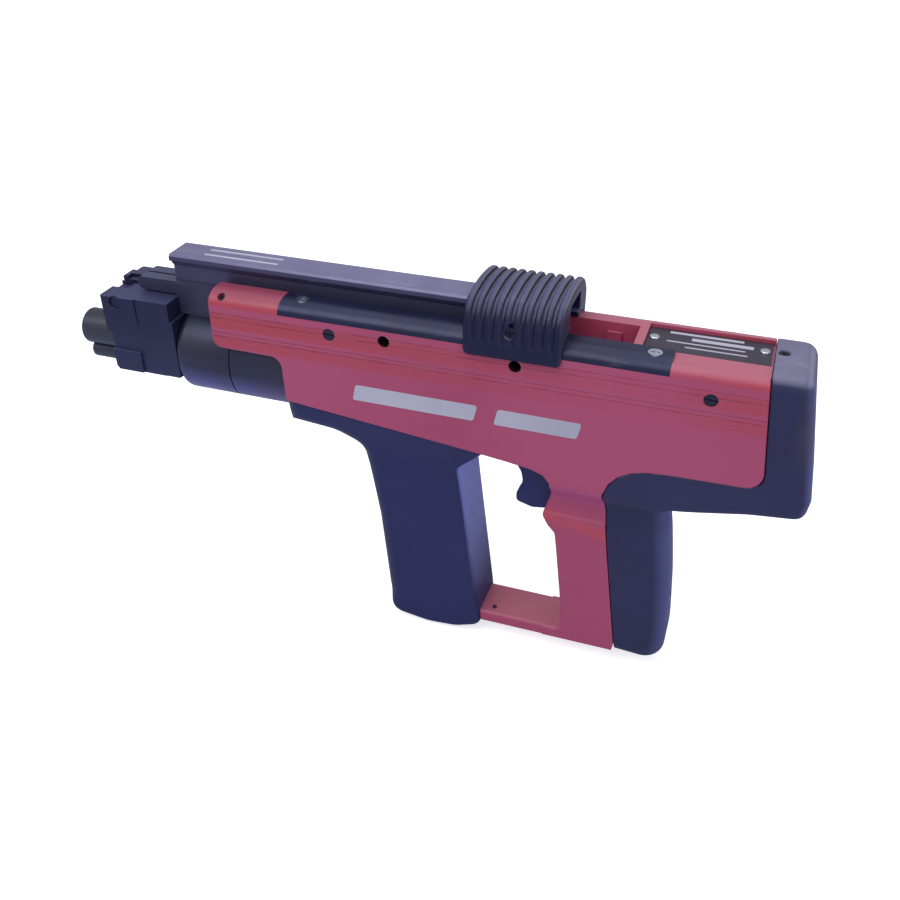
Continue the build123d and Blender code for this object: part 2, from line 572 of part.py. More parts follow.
# latch: thumb tab on top, leg down to the notch in the nose tube
latch = prism_y([(32.2, 39.9, 1.0), (48.6, 39.9, 1.0), (48.6, 34.5), (46.2, 30.0), (46.2, 10.9),
                 (38.0, 10.9), (36.6, 13.0), (36.6, 29.0), (34.2, 35.6), (32.2, 36.2, 0.8)], 1.0, 11.0)
latch = latch - bx(36.0, 60.0, 0.5, 5.5, 37.6, 41.0)
latch = latch - cy(0, 12, 3.06, *LATCH_PIVOT)
save(latch, "nose_latch")
save(coil_x(53.6, 59.8, 2.0, 0.7, 1.5, 6.0, 20.5), "nose_latch_spring")

# ------------------------------------------------------------ barrel sections
inner_r = 18.0
collar = hull_x(80.6, 119.0, BARREL_R, BARREL_DROP)
collar = soften(collar, lambda s: [
    e for e in s.edges() if abs(e.center().X - 80.6) < 0.01], 5.0)
collar = collar - cx(78, 120, inner_r)
save(collar, "barrel_collar")
sleeve = hull_x(120.0, 222.0, BARREL_R, BARREL_DROP) + hull_x(119.0, 120.1, BARREL_R - 1.2, BARREL_DROP)
sleeve = sleeve - cx(110, 230, inner_r)
sleeve = sleeve - bx(212.5, 223.0, -5.0, 5.0, -40, 40)
sleeve = sorted(sleeve.solids(), key=lambda s: -s.volume)
sleeve = group(*sleeve)
save(sleeve, "barrel_sleeve")
guide = cx(84.0, 222.0, inner_r - 0.02) - cx(80, 211.5, PISTON_BORE) - cx(211, 223, 5.0)
guide = guide - bx(212.5, 223.0, -5.0, 5.0, -40, 40)
save(guide, "piston_guide")

stop = cx(84.2, 90.0, PISTON_BORE - 0.02) - cx(80, 92, 5.2)
save(stop, "stop_ring")
buffer_ = cx(90.0, 103.0, PISTON_BORE - 0.2) - cx(88, 104, 4.9)
save(buffer_, "piston_buffer")
piston = cx(96.0, 198.0, ROD_R) + cx(197.5, 211.0, 9.9)
piston = piston - (cx(200.5, 202.5, 11) - cx(200, 203, 8.4))
piston = piston - (cx(204.5, 206.5, 11) - cx(204, 207, 8.4))
piston = soften(piston, lambda s: [
    e for e in s.edges() if abs(e.center().X - 96.0) < 0.01], 0.8)
save(piston, "piston")
rings = []
for x in (200.5, 204.5):
    rings.append(cx(x, x + 2.0, 9.96) - cx(x - 1, x + 3, 8.4))
save(group(*rings), "piston_rings")

# ----------------------------------------------------------- rail and bracket
rail_out = [(-9.7, RAIL_TOP, 0), (-11.0, 63.2, 1.2), (-11.0, 60.4, 1.2), (-8.6, 59.2, 1.0),
            (-8.0, 57.6, 0.8), (-6.7, 56.6, 1.0), (-6.7, RAIL_BOTTOM), (6.7, RAIL_BOTTOM),
            (6.7, 56.6, 1.0), (8.0, 57.6, 0.8), (8.6, 59.2, 1.0), (11.0, 60.4, 1.2),
            (11.0, 63.2, 1.2), (9.7, RAIL_TOP, 0)]
rail_full = prism_x(rail_out, RAIL_FRONT, RAIL_REAR)
channel = bx(RAIL_FRONT - 1, RAIL_REAR + 1, -4.9, 4.9, RAIL_BOTTOM - 1, 55.2) + cx(
    RAIL_FRONT - 1, RAIL_REAR + 1, 4.9, 0, 55.2)
rail = rail_full - channel
BR_PINS = [92.0, 138.0]
for xpin in BR_PINS:
    rail = rail - cy(-5.9, 5.9, 1.6, xpin, 51.0)
GS = (300.4, 55.9)
for s in (-1, 1):
    y0, y1 = sorted((s * 5.4, s * 12.0))
    rail = rail - cy(y0, y1, 1.5, GS[0], GS[1])
save(rail, "rail")

bracket = bx(77.5, 150.0, -9.0, 9.0, 20.0, RAIL_BOTTOM)
bracket = bracket + bx(82.0, 150.0, -4.85, 4.85, RAIL_BOTTOM - 0.5, 55.0)
bracket = bracket - hull_x(60, 230, BARREL_R, BARREL_DROP)
arms = None
for s in (-1, 1):
    y0, y1 = sorted((s * 0.9, s * 9.0))
    a = prism_y([(50.0, 46.0, 4.0), (84.0, 46.0), (84.0, 37.6), (51.5, 37.6, 3.0)], y0, y1)
    arms = a if arms is None else arms + a
bracket = bracket + arms
bracket = bracket - nb
bracket = bracket - collar
for xpin in BR_PINS:
    bracket = bracket - cy(-10, 10, 1.6, xpin, 51.0)
bracket = sorted(bracket.solids(), key=lambda s: -s.volume)[0]
save(bracket, "rail_bracket")
save(group(*[cy(-5.8, 5.8, 1.55, xpin, 51.0) for xpin in BR_PINS]), "rail_bracket_pins")

# ---------------------------------------------------------------- cycling grip
def grip_section(inset, x0, x1, zlow):
    a = GRIP_HALF - inset
    top_edge = 72.2 - inset
    mid = 74.5 - inset
    r = 13.0 - inset * 0.6
    e = [Edge.make_line((x0, -a, zlow), (x0, -a, top_edge - r)),
         Edge.make_bezier((x0, -a, top_edge - r), (x0, -a, top_edge - 0.35 * r),
                          (x0, -a + 0.55 * r, top_edge - 0.7), (x0, -a + 1.25 * r, top_edge + 0.7)),
         Edge.make_three_point_arc((x0, -a + 1.25 * r, top_edge + 0.7), (x0, 0, mid),
                                   (x0, a - 1.25 * r, top_edge + 0.7)),
         Edge.make_bezier((x0, a - 1.25 * r, top_edge + 0.7), (x0, a - 0.55 * r, top_edge - 0.7),
                          (x0, a, top_edge - 0.35 * r), (x0, a, top_edge - r)),
         Edge.make_line((x0, a, top_edge - r), (x0, a, zlow)),
         Edge.make_line((x0, a, zlow), (x0, -a, zlow))]
    return extrude(Face(Wire(e)), amount=x1 - x0, dir=(1, 0, 0))


grip = grip_section(0.0, GRIP_X0 + 2.4, GRIP_X1 - 1.2, 39.2) + grip_section(
    1.0, GRIP_X0 + 0.8, GRIP_X1 - 0.4, 39.2) + grip_section(2.2, GRIP_X0, GRIP_X1, 39.2)
grip = grip & prism_y([(GRIP_X0, 80.0), (GRIP_X0 + 0.2, 39.2, 4.0), (GRIP_X1, 39.2, 4.0),
                       (GRIP_X1, 80.0)], -40, 40)
pitch = (GRIP_X1 - GRIP_X0) / (RIBS + 0.0)
for i in range(1, RIBS):
    xc = GRIP_X0 + i * pitch
    ring = grip_section(-3.0, xc - 1.15, xc + 1.15, 48.5) - grip_section(2.0, xc - 2, xc + 2, 40.0)
    grip = grip - ring
grip = grip - shoulder_bar(GRIP_X0 - 5, GRIP_X1 + 5, W, SHOULDER, TOP, grow=0.4)
grip = grip - rail_full
grip = grip - bx(GRIP_X1 - 8.0, GRIP_X1 + 5, -12.0, 12.0, 57.0, 66.6)
grip = grip - bx(GRIP_X1 - 8.0, GRIP_X1 + 5, -9.2, 9.2, 50.0, 58.0)
for s in (-1, 1):
    grip = grip - cy(*sorted((s * 6.0, s * 28.5)), 1.6, GS[0], GS[1])
    grip = grip - cy(*sorted((s * 26.5, s * 40.0)), 3.3, GS[0], GS[1])
grip = sorted(grip.solids(), key=lambda s: -s.volume)[0]
save(grip, "cycling_grip")
gsc = []
for s in (-1, 1):
    head = Pos(GS[0], s * 29.2, GS[1]) * (Rot(-s * 90, 0, 0) * cross_head(3.2, 2.6, 1.2))
    shank = cy(*sorted((s * 5.6, s * 26.8)), 1.5, GS[0], GS[1])
    gsc.append(head + shank)
save(group(*gsc), "cycling_grip_screws")
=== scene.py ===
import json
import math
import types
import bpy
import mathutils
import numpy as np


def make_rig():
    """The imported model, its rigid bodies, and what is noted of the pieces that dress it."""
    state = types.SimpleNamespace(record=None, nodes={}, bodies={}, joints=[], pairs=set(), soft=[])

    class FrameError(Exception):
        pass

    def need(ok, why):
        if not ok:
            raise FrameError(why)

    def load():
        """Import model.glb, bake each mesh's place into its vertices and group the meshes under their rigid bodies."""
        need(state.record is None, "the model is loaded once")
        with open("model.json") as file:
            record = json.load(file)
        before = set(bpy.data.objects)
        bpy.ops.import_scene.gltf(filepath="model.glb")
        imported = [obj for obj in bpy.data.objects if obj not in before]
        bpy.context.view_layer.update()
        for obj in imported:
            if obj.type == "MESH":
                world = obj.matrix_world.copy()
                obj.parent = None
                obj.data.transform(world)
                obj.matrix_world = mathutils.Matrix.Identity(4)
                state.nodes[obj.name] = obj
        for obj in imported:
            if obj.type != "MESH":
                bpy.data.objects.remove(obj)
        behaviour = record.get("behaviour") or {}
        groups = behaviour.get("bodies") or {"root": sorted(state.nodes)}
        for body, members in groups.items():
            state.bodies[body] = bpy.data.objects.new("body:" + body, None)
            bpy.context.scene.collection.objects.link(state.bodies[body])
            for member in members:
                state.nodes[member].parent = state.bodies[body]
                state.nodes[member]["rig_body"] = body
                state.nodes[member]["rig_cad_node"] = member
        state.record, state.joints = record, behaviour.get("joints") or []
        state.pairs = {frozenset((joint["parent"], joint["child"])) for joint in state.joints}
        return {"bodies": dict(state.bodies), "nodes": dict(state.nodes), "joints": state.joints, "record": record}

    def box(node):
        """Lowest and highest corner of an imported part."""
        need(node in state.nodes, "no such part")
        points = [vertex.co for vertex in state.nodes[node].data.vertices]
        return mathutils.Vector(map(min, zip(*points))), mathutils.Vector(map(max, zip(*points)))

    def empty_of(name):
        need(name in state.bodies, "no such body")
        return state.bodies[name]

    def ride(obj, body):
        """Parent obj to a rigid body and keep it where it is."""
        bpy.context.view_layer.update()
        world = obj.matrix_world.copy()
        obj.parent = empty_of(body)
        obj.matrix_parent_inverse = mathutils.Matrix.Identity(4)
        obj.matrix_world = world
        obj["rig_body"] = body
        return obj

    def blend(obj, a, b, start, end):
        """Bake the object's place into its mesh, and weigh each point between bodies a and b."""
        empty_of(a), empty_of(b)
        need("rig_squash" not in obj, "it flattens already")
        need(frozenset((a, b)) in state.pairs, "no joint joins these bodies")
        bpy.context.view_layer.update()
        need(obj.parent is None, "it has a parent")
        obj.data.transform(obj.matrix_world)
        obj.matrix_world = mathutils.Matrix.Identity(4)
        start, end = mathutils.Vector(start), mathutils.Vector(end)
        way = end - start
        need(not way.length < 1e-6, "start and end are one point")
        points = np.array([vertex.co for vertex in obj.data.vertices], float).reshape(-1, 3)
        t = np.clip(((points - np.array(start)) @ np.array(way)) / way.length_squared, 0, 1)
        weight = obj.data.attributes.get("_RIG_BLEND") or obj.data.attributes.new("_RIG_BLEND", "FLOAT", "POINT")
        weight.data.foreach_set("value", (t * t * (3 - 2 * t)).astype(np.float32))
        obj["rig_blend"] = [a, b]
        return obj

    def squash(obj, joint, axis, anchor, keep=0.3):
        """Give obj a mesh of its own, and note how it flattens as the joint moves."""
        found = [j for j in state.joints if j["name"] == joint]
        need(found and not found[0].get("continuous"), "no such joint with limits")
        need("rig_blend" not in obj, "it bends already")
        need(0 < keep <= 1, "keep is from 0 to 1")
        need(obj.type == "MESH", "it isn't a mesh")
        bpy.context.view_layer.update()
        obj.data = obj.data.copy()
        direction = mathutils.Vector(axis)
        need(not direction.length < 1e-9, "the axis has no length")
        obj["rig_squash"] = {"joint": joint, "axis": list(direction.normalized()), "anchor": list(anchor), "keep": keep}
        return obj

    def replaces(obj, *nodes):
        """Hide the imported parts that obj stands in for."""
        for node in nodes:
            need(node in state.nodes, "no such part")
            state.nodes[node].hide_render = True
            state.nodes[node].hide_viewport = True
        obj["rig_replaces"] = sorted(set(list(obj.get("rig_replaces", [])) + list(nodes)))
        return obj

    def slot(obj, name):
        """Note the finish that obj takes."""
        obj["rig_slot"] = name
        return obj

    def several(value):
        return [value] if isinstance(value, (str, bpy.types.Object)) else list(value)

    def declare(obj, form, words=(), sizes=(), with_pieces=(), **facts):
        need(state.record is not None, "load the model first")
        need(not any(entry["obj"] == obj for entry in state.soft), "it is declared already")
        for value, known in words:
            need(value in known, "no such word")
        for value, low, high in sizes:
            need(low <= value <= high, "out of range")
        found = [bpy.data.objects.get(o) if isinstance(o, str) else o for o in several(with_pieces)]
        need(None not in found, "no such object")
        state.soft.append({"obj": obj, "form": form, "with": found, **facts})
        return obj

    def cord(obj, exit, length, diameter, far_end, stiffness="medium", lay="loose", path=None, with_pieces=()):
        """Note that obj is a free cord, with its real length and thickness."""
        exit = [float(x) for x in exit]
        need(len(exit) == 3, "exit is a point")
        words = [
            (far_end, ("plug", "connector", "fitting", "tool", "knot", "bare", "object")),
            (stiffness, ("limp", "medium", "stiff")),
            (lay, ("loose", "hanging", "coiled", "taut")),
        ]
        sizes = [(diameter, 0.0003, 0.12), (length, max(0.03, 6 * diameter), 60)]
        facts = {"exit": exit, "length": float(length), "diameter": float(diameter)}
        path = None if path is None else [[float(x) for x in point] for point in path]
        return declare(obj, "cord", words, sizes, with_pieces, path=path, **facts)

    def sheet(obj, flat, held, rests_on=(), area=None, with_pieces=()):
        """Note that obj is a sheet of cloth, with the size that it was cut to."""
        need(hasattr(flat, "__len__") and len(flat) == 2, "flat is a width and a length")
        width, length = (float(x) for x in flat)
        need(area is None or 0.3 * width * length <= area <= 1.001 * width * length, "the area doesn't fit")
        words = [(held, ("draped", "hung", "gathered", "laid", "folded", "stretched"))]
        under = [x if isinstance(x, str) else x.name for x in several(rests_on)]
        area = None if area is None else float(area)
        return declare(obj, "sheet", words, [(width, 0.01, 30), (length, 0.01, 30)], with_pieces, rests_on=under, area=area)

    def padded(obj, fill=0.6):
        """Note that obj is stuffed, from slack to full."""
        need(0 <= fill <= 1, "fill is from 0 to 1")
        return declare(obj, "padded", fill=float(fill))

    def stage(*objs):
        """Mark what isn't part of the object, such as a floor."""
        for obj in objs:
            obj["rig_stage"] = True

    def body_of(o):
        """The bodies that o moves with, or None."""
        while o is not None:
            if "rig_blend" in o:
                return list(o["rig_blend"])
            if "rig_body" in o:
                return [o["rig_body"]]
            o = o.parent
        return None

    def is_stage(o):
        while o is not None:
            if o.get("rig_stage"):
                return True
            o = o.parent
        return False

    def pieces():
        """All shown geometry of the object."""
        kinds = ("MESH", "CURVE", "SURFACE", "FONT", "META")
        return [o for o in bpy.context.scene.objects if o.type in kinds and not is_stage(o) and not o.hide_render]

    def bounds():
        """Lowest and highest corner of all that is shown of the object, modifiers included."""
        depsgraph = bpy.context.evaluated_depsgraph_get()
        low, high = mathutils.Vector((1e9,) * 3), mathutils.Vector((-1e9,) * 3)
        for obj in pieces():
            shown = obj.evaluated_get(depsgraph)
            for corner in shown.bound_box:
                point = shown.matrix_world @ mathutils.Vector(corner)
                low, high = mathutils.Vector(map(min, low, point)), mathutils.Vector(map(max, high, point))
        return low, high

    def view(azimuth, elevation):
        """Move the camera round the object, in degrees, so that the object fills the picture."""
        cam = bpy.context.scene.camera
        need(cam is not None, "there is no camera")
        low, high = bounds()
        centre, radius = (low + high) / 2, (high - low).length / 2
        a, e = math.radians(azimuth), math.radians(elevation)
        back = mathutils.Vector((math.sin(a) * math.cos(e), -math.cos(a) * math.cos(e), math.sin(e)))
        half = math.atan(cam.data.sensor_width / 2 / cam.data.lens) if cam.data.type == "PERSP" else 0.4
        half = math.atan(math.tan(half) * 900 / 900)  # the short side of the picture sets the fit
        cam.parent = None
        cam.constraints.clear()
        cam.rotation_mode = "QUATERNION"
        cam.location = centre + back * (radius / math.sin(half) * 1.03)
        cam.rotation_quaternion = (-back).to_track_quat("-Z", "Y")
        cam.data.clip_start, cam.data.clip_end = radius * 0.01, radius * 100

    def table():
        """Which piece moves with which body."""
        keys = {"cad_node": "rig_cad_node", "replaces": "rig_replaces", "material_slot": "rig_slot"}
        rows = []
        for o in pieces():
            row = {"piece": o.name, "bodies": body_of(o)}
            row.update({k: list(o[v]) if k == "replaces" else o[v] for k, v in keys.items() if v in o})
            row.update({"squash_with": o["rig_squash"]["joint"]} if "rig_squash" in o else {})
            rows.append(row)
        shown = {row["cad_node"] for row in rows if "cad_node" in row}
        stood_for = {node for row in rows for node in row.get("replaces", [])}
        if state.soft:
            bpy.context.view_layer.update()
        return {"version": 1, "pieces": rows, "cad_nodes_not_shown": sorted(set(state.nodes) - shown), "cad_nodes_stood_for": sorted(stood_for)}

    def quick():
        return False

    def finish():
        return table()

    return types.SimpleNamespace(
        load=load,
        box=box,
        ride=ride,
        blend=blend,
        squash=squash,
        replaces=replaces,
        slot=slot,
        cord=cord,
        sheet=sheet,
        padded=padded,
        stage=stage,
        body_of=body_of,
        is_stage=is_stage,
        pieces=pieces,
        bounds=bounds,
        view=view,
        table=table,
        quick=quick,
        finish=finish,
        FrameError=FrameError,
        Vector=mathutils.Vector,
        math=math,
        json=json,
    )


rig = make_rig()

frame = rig.load()

import json
import math
import random

import bmesh
import bpy
import numpy as np
from mathutils import Matrix, Vector

random.seed(7)
np.random.seed(7)


def plain(b):
    return [[float(x) for x in p] for p in b]


CAD_BOX = plain(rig.bounds())
NODES = frame["nodes"]
SC = bpy.context.scene
MM = 0.001


# ------------------------------------------------------------------ materials
def new_mat(name):
    m = bpy.data.materials.new(name)
    m.use_nodes = True
    nt = m.node_tree
    nt.nodes.clear()
    out = nt.nodes.new("ShaderNodeOutputMaterial")
    bsdf = nt.nodes.new("ShaderNodeBsdfPrincipled")
    nt.links.new(bsdf.outputs[0], out.inputs[0])
    return m, nt, bsdf


class NB:
    """Small helper around a node tree."""

    def __init__(self, nt):
        self.nt = nt
        self.coord = nt.nodes.new("ShaderNodeTexCoord").outputs["Object"]

    def link(self, a, b):
        self.nt.links.new(a, b)

    def mapping(self, scale=(1, 1, 1), loc=(0, 0, 0), rot=(0, 0, 0), src=None):
        n = self.nt.nodes.new("ShaderNodeMapping")
        n.inputs["Scale"].default_value = scale
        n.inputs["Location"].default_value = loc
        n.inputs["Rotation"].default_value = rot
        self.link(src or self.coord, n.inputs["Vector"])
        return n.outputs[0]

    def noise(self, scale, detail=3.0, rough=0.55, vec=None, dist=0.0):
        n = self.nt.nodes.new("ShaderNodeTexNoise")
        n.inputs["Scale"].default_value = scale
        n.inputs["Detail"].default_value = detail
        n.inputs["Roughness"].default_value = rough
        n.inputs["Distortion"].default_value = dist
        self.link(vec if vec is not None else self.coord, n.inputs["Vector"])
        return n.outputs["Fac"]

    def voronoi(self, scale, vec=None, feature="F1", out="Distance"):
        n = self.nt.nodes.new("ShaderNodeTexVoronoi")
        n.feature = feature
        n.inputs["Scale"].default_value = scale
        self.link(vec if vec is not None else self.coord, n.inputs["Vector"])
        return n.outputs[out]

    def ramp(self, fac, stops):
        n = self.nt.nodes.new("ShaderNodeValToRGB")
        while len(n.color_ramp.elements) < len(stops):
            n.color_ramp.elements.new(0.5)
        for el, (p, c) in zip(n.color_ramp.elements, stops):
            el.position = p
            el.color = (c, c, c, 1) if isinstance(c, (int, float)) else (*c, 1)
        self.link(fac, n.inputs["Fac"])
        return n.outputs["Color"]

    def rng(self, fac, a0, a1, b0, b1, clamp=True):
        n = self.nt.nodes.new("ShaderNodeMapRange")
        n.clamp = clamp
        for k, v in zip(("From Min", "From Max", "To Min", "To Max"), (a0, a1, b0, b1)):
            n.inputs[k].default_value = v
        self.link(fac, n.inputs["Value"])
        return n.outputs["Result"]

    def math(self, op, a, b=0.0, clamp=False):
        n = self.nt.nodes.new("ShaderNodeMath")
        n.operation = op
        n.use_clamp = clamp
        for i, v in enumerate((a, b)):
            if isinstance(v, (int, float)):
                n.inputs[i].default_value = v
            else:
                self.link(v, n.inputs[i])
        return n.outputs[0]

    def mix(self, fac, a, b, mode="MIX"):
        n = self.nt.nodes.new("ShaderNodeMix")
        n.data_type = "RGBA"
        n.blend_type = mode
        n.clamp_factor = True
        for key, v in (("Factor", fac), ("A", a), ("B", b)):
            sock = [s for s in n.inputs if s.name == key and (
                s.type == ("VALUE" if key == "Factor" else "RGBA"))][0]
            if isinstance(v, (int, float)):
                sock.default_value = v if key == "Factor" else (v, v, v, 1)
            elif isinstance(v, (tuple, list)):
                sock.default_value = (*v[:3], 1)
            else:
                self.link(v, sock)
        return [s for s in n.outputs if s.type == "RGBA"][0]

    def bump(self, height, dist, strength=1.0, normal=None):
        n = self.nt.nodes.new("ShaderNodeBump")
        n.inputs["Strength"].default_value = strength
        n.inputs["Distance"].default_value = dist
        self.link(height, n.inputs["Height"])
        if normal is not None:
            self.link(normal, n.inputs["Normal"])
        return n.outputs[0]

    def bevel(self, radius, samples=4):
        n = self.nt.nodes.new("ShaderNodeBevel")
        n.samples = samples
        n.inputs["Radius"].default_value = radius
        return n.outputs[0]

    def edge(self, radius, lo=0.04, hi=0.35, samples=4):
        """1 near sharp edges, 0 on flats."""
        bev = self.bevel(radius, samples)
        geo = self.nt.nodes.new("ShaderNodeNewGeometry")
        d = self.nt.nodes.new("ShaderNodeVectorMath")
        d.operation = "DOT_PRODUCT"
        self.link(bev, d.inputs[0])
        self.link(geo.outputs["Normal"], d.inputs[1])
        inv = self.math("SUBTRACT", 1.0, d.outputs["Value"])
        return self.rng(inv, lo * 0.3, hi * 0.6, 0.0, 1.0)

    def axis(self, which):
        n = self.nt.nodes.new("ShaderNodeSeparateXYZ")
        self.link(self.coord, n.inputs[0])
        return n.outputs["XYZ".index(which)]

    def facing(self, which="Z"):
        geo = self.nt.nodes.new("ShaderNodeNewGeometry")
        n = self.nt.nodes.new("ShaderNodeSeparateXYZ")
        self.link(geo.outputs["Normal"], n.inputs[0])
        return n.outputs["XYZ".index(which)]


def lit_by_side(nb, col, up=None, rear=None, down=None, rear_z=None):
    """Painted light on faces turned up, rearward or down: per-channel gains, mottled by noise."""
    geo = nb.nt.nodes.new("ShaderNodeNewGeometry")
    sep = nb.nt.nodes.new("ShaderNodeSeparateXYZ")
    nb.link(geo.outputs["Normal"], sep.inputs[0])
    for gain, out, a, b in ((up, 2, 0.45, 0.97), (rear, 0, 0.35, 0.97), (down, 2, -0.02, -0.62)):
        if gain is None:
            continue
        f = nb.rng(sep.outputs[out], a, b, 0, 1) if b > a else nb.rng(
            nb.math("MULTIPLY", sep.outputs[out], -1.0), -a, -b, 0, 1)
        if out == 0 and rear_z is not None:
            f = nb.math("MULTIPLY", f, nb.rng(nb.axis("Z"), rear_z[0], rear_z[1], 0, 1))
        # noise that mottles the painted light
        light_mottle = nb.rng(nb.noise(22.0, 3, 0.55), 0.35, 0.68, 0.86, 1.0)
        f = nb.math("MULTIPLY", f, light_mottle)
        col = nb.mix(1.0, col, nb.mix(f, (1, 1, 1), gain), "MULTIPLY")
    return col


def finish_mat(nb, bsdf, color, rough, metallic=0.0, normal=None, spec=0.5, coat=0.0,
               coat_rough=0.2, sheen=0.0, sheen_tint=(1, 1, 1)):
    def put(name, v):
        s = bsdf.inputs[name]
        if isinstance(v, (int, float)):
            s.default_value = v
        elif isinstance(v, (tuple, list)):
            s.default_value = (*v[:3], 1)
        else:
            nb.link(v, s)
    put("Base Color", color)
    put("Roughness", rough)
    put("Metallic", metallic)
    put("Specular IOR Level", spec)
    if coat:
        put("Coat Weight", coat)
        put("Coat Roughness", coat_rough)
    if sheen:
        put("Sheen Weight", sheen)
        put("Sheen Tint", sheen_tint)
    if normal is not None:
        nb.link(normal, bsdf.inputs["Normal"])


def mat_red_paint():
    m, nt, b = new_mat("red_paint")
    nb = NB(nt)
    z, x = nb.axis("Z"), nb.axis("X")
    cloud = nb.noise(9.0, 3, 0.5)
    base = nb.mix(nb.rng(cloud, 0.35, 0.65, 0, 1), (0.425, 0.067, 0.148), (0.475, 0.084, 0.178))
    # drawn streaks along the section, strongest on the upper flank, where bands of painted warm highlight mark the
    # up-facing steps
    streak = nb.noise(60.0, 4, 0.65, nb.mapping((0.06, 12.0, 24.0)))
    fine = nb.noise(140.0, 3, 0.6, nb.mapping((0.05, 14.0, 30.0), loc=(0.3, 0.1, 0.2)))
    s = nb.math("MULTIPLY", nb.rng(streak, 0.42, 0.66, 0, 1), nb.rng(fine, 0.35, 0.62, 0, 1))
    # painted highlight: warm bands at the heights of the up-facing steps, faded out along X
    up1 = nb.math("MULTIPLY", nb.rng(z, 0.0285, 0.0300, 0, 1), nb.rng(z, 0.0375, 0.0395, 1, 0))
    up2 = nb.math("MULTIPLY", nb.rng(z, 0.0150, 0.0185, 0, 1), nb.rng(z, 0.0240, 0.0252, 1, 0))
    up3 = nb.rng(z, 0.0425, 0.0445, 0, 1)
    painted_step_light = nb.math("MAXIMUM", nb.math("MAXIMUM", up1, nb.math("MULTIPLY", up2, 0.8)), up3)
    painted_light_ramp = nb.math("MAXIMUM", nb.rng(x, 0.15, 0.36, 1.0, 0.28), nb.rng(x, 0.385, 0.435, 0.2, 0.75))
    painted_step_light = nb.math("MULTIPLY", painted_step_light, painted_light_ramp)
    step_light_col = nb.mix(nb.math("MULTIPLY", painted_step_light, 0.75), base, (0.47, 0.050, 0.070))
    amount = nb.math("MULTIPLY", s, nb.math("ADD", 0.10, nb.math("MULTIPLY", painted_step_light, 0.45)))
    col = nb.mix(amount, step_light_col, (0.62, 0.085, 0.065))
    # painted light: up-facing paint is tinted by the way it faces, darker towards the front and lighter and warmer
    # towards the rear
    up = nb.rng(nb.facing("Z"), 0.40, 0.95, 0, 0.9)
    col = nb.mix(up, col, nb.mix(nb.rng(x, 0.14, 0.40, 0, 1), (0.30, 0.063, 0.114), (0.48, 0.140, 0.205)))
    # painted light from below: down-facing paint is lifted and cooled
    col = lit_by_side(nb, col, down=(1.25, 1.4, 1.6))
    # painted highlight: a warm, light streak where the neck runs out into the handle
    lean = nb.math("ADD", nb.math("ADD", z, 0.0698), nb.math("MULTIPLY", nb.math("SUBTRACT", x, 0.322), 0.16))
    neck_highlight = nb.math("MULTIPLY", nb.rng(nb.math("ABSOLUTE", lean), 0.0008, 0.0062, 1, 0),
                    nb.rng(nb.noise(70.0, 4, 0.6), 0.35, 0.62, 0.4, 1))
    neck_highlight = nb.math("MULTIPLY", neck_highlight, nb.rng(x, 0.315, 0.322, 0, 0.7))
    col = nb.mix(neck_highlight, col, (0.62, 0.078, 0.090))
    # lighter, pinker colour in patches along sharp edges
    e = nb.edge(0.0007, 0.08, 0.5)
    patch = nb.rng(nb.noise(90.0, 4, 0.6), 0.42, 0.60, 0, 1)
    col = nb.mix(nb.math("MULTIPLY", e, nb.math("MULTIPLY", patch, 0.35)), col, (0.66, 0.30, 0.36))
    # painted shade: the insides of the open guide holes turn near-black
    hole_shade = None
    for hx, hz in ((0.225, 0.0374), (0.3031, 0.0350)):
        q = nb.math("ADD", nb.math("POWER", nb.math("SUBTRACT", x, hx), 2.0),
                    nb.math("POWER", nb.math("SUBTRACT", z, hz), 2.0))
        q = nb.math("LESS_THAN", q, 0.0039 ** 2)
        hole_shade = q if hole_shade is None else nb.math("MAXIMUM", hole_shade, q)
    hole_shade = nb.math("MULTIPLY", hole_shade, nb.rng(nb.math("ABSOLUTE", nb.axis("Y")), 0.0266, 0.0276, 1, 0))
    col = nb.mix(nb.math("MULTIPLY", hole_shade, 0.96), col, (0.012, 0.008, 0.016))
    # small specks
    sp = nb.rng(nb.voronoi(420.0), 0.0, 0.045, 1, 0)
    spm = nb.math("MULTIPLY", sp, nb.rng(nb.noise(30.0, 2), 0.60, 0.68, 0, 0.6))
    col = nb.mix(spm, col, (0.22, 0.03, 0.06))
    rough = nb.rng(nb.noise(35.0, 4, 0.6), 0.3, 0.7, 0.34, 0.46)
    peel = nb.noise(520.0, 2, 0.5)
    bm = nb.bump(peel, 0.00006, 0.35)
    bm = nb.bump(s, 0.00004, 0.30, bm)
    finish_mat(nb, b, col, rough, 0.0, bm, 0.42, 0.12, 0.25)
    return m


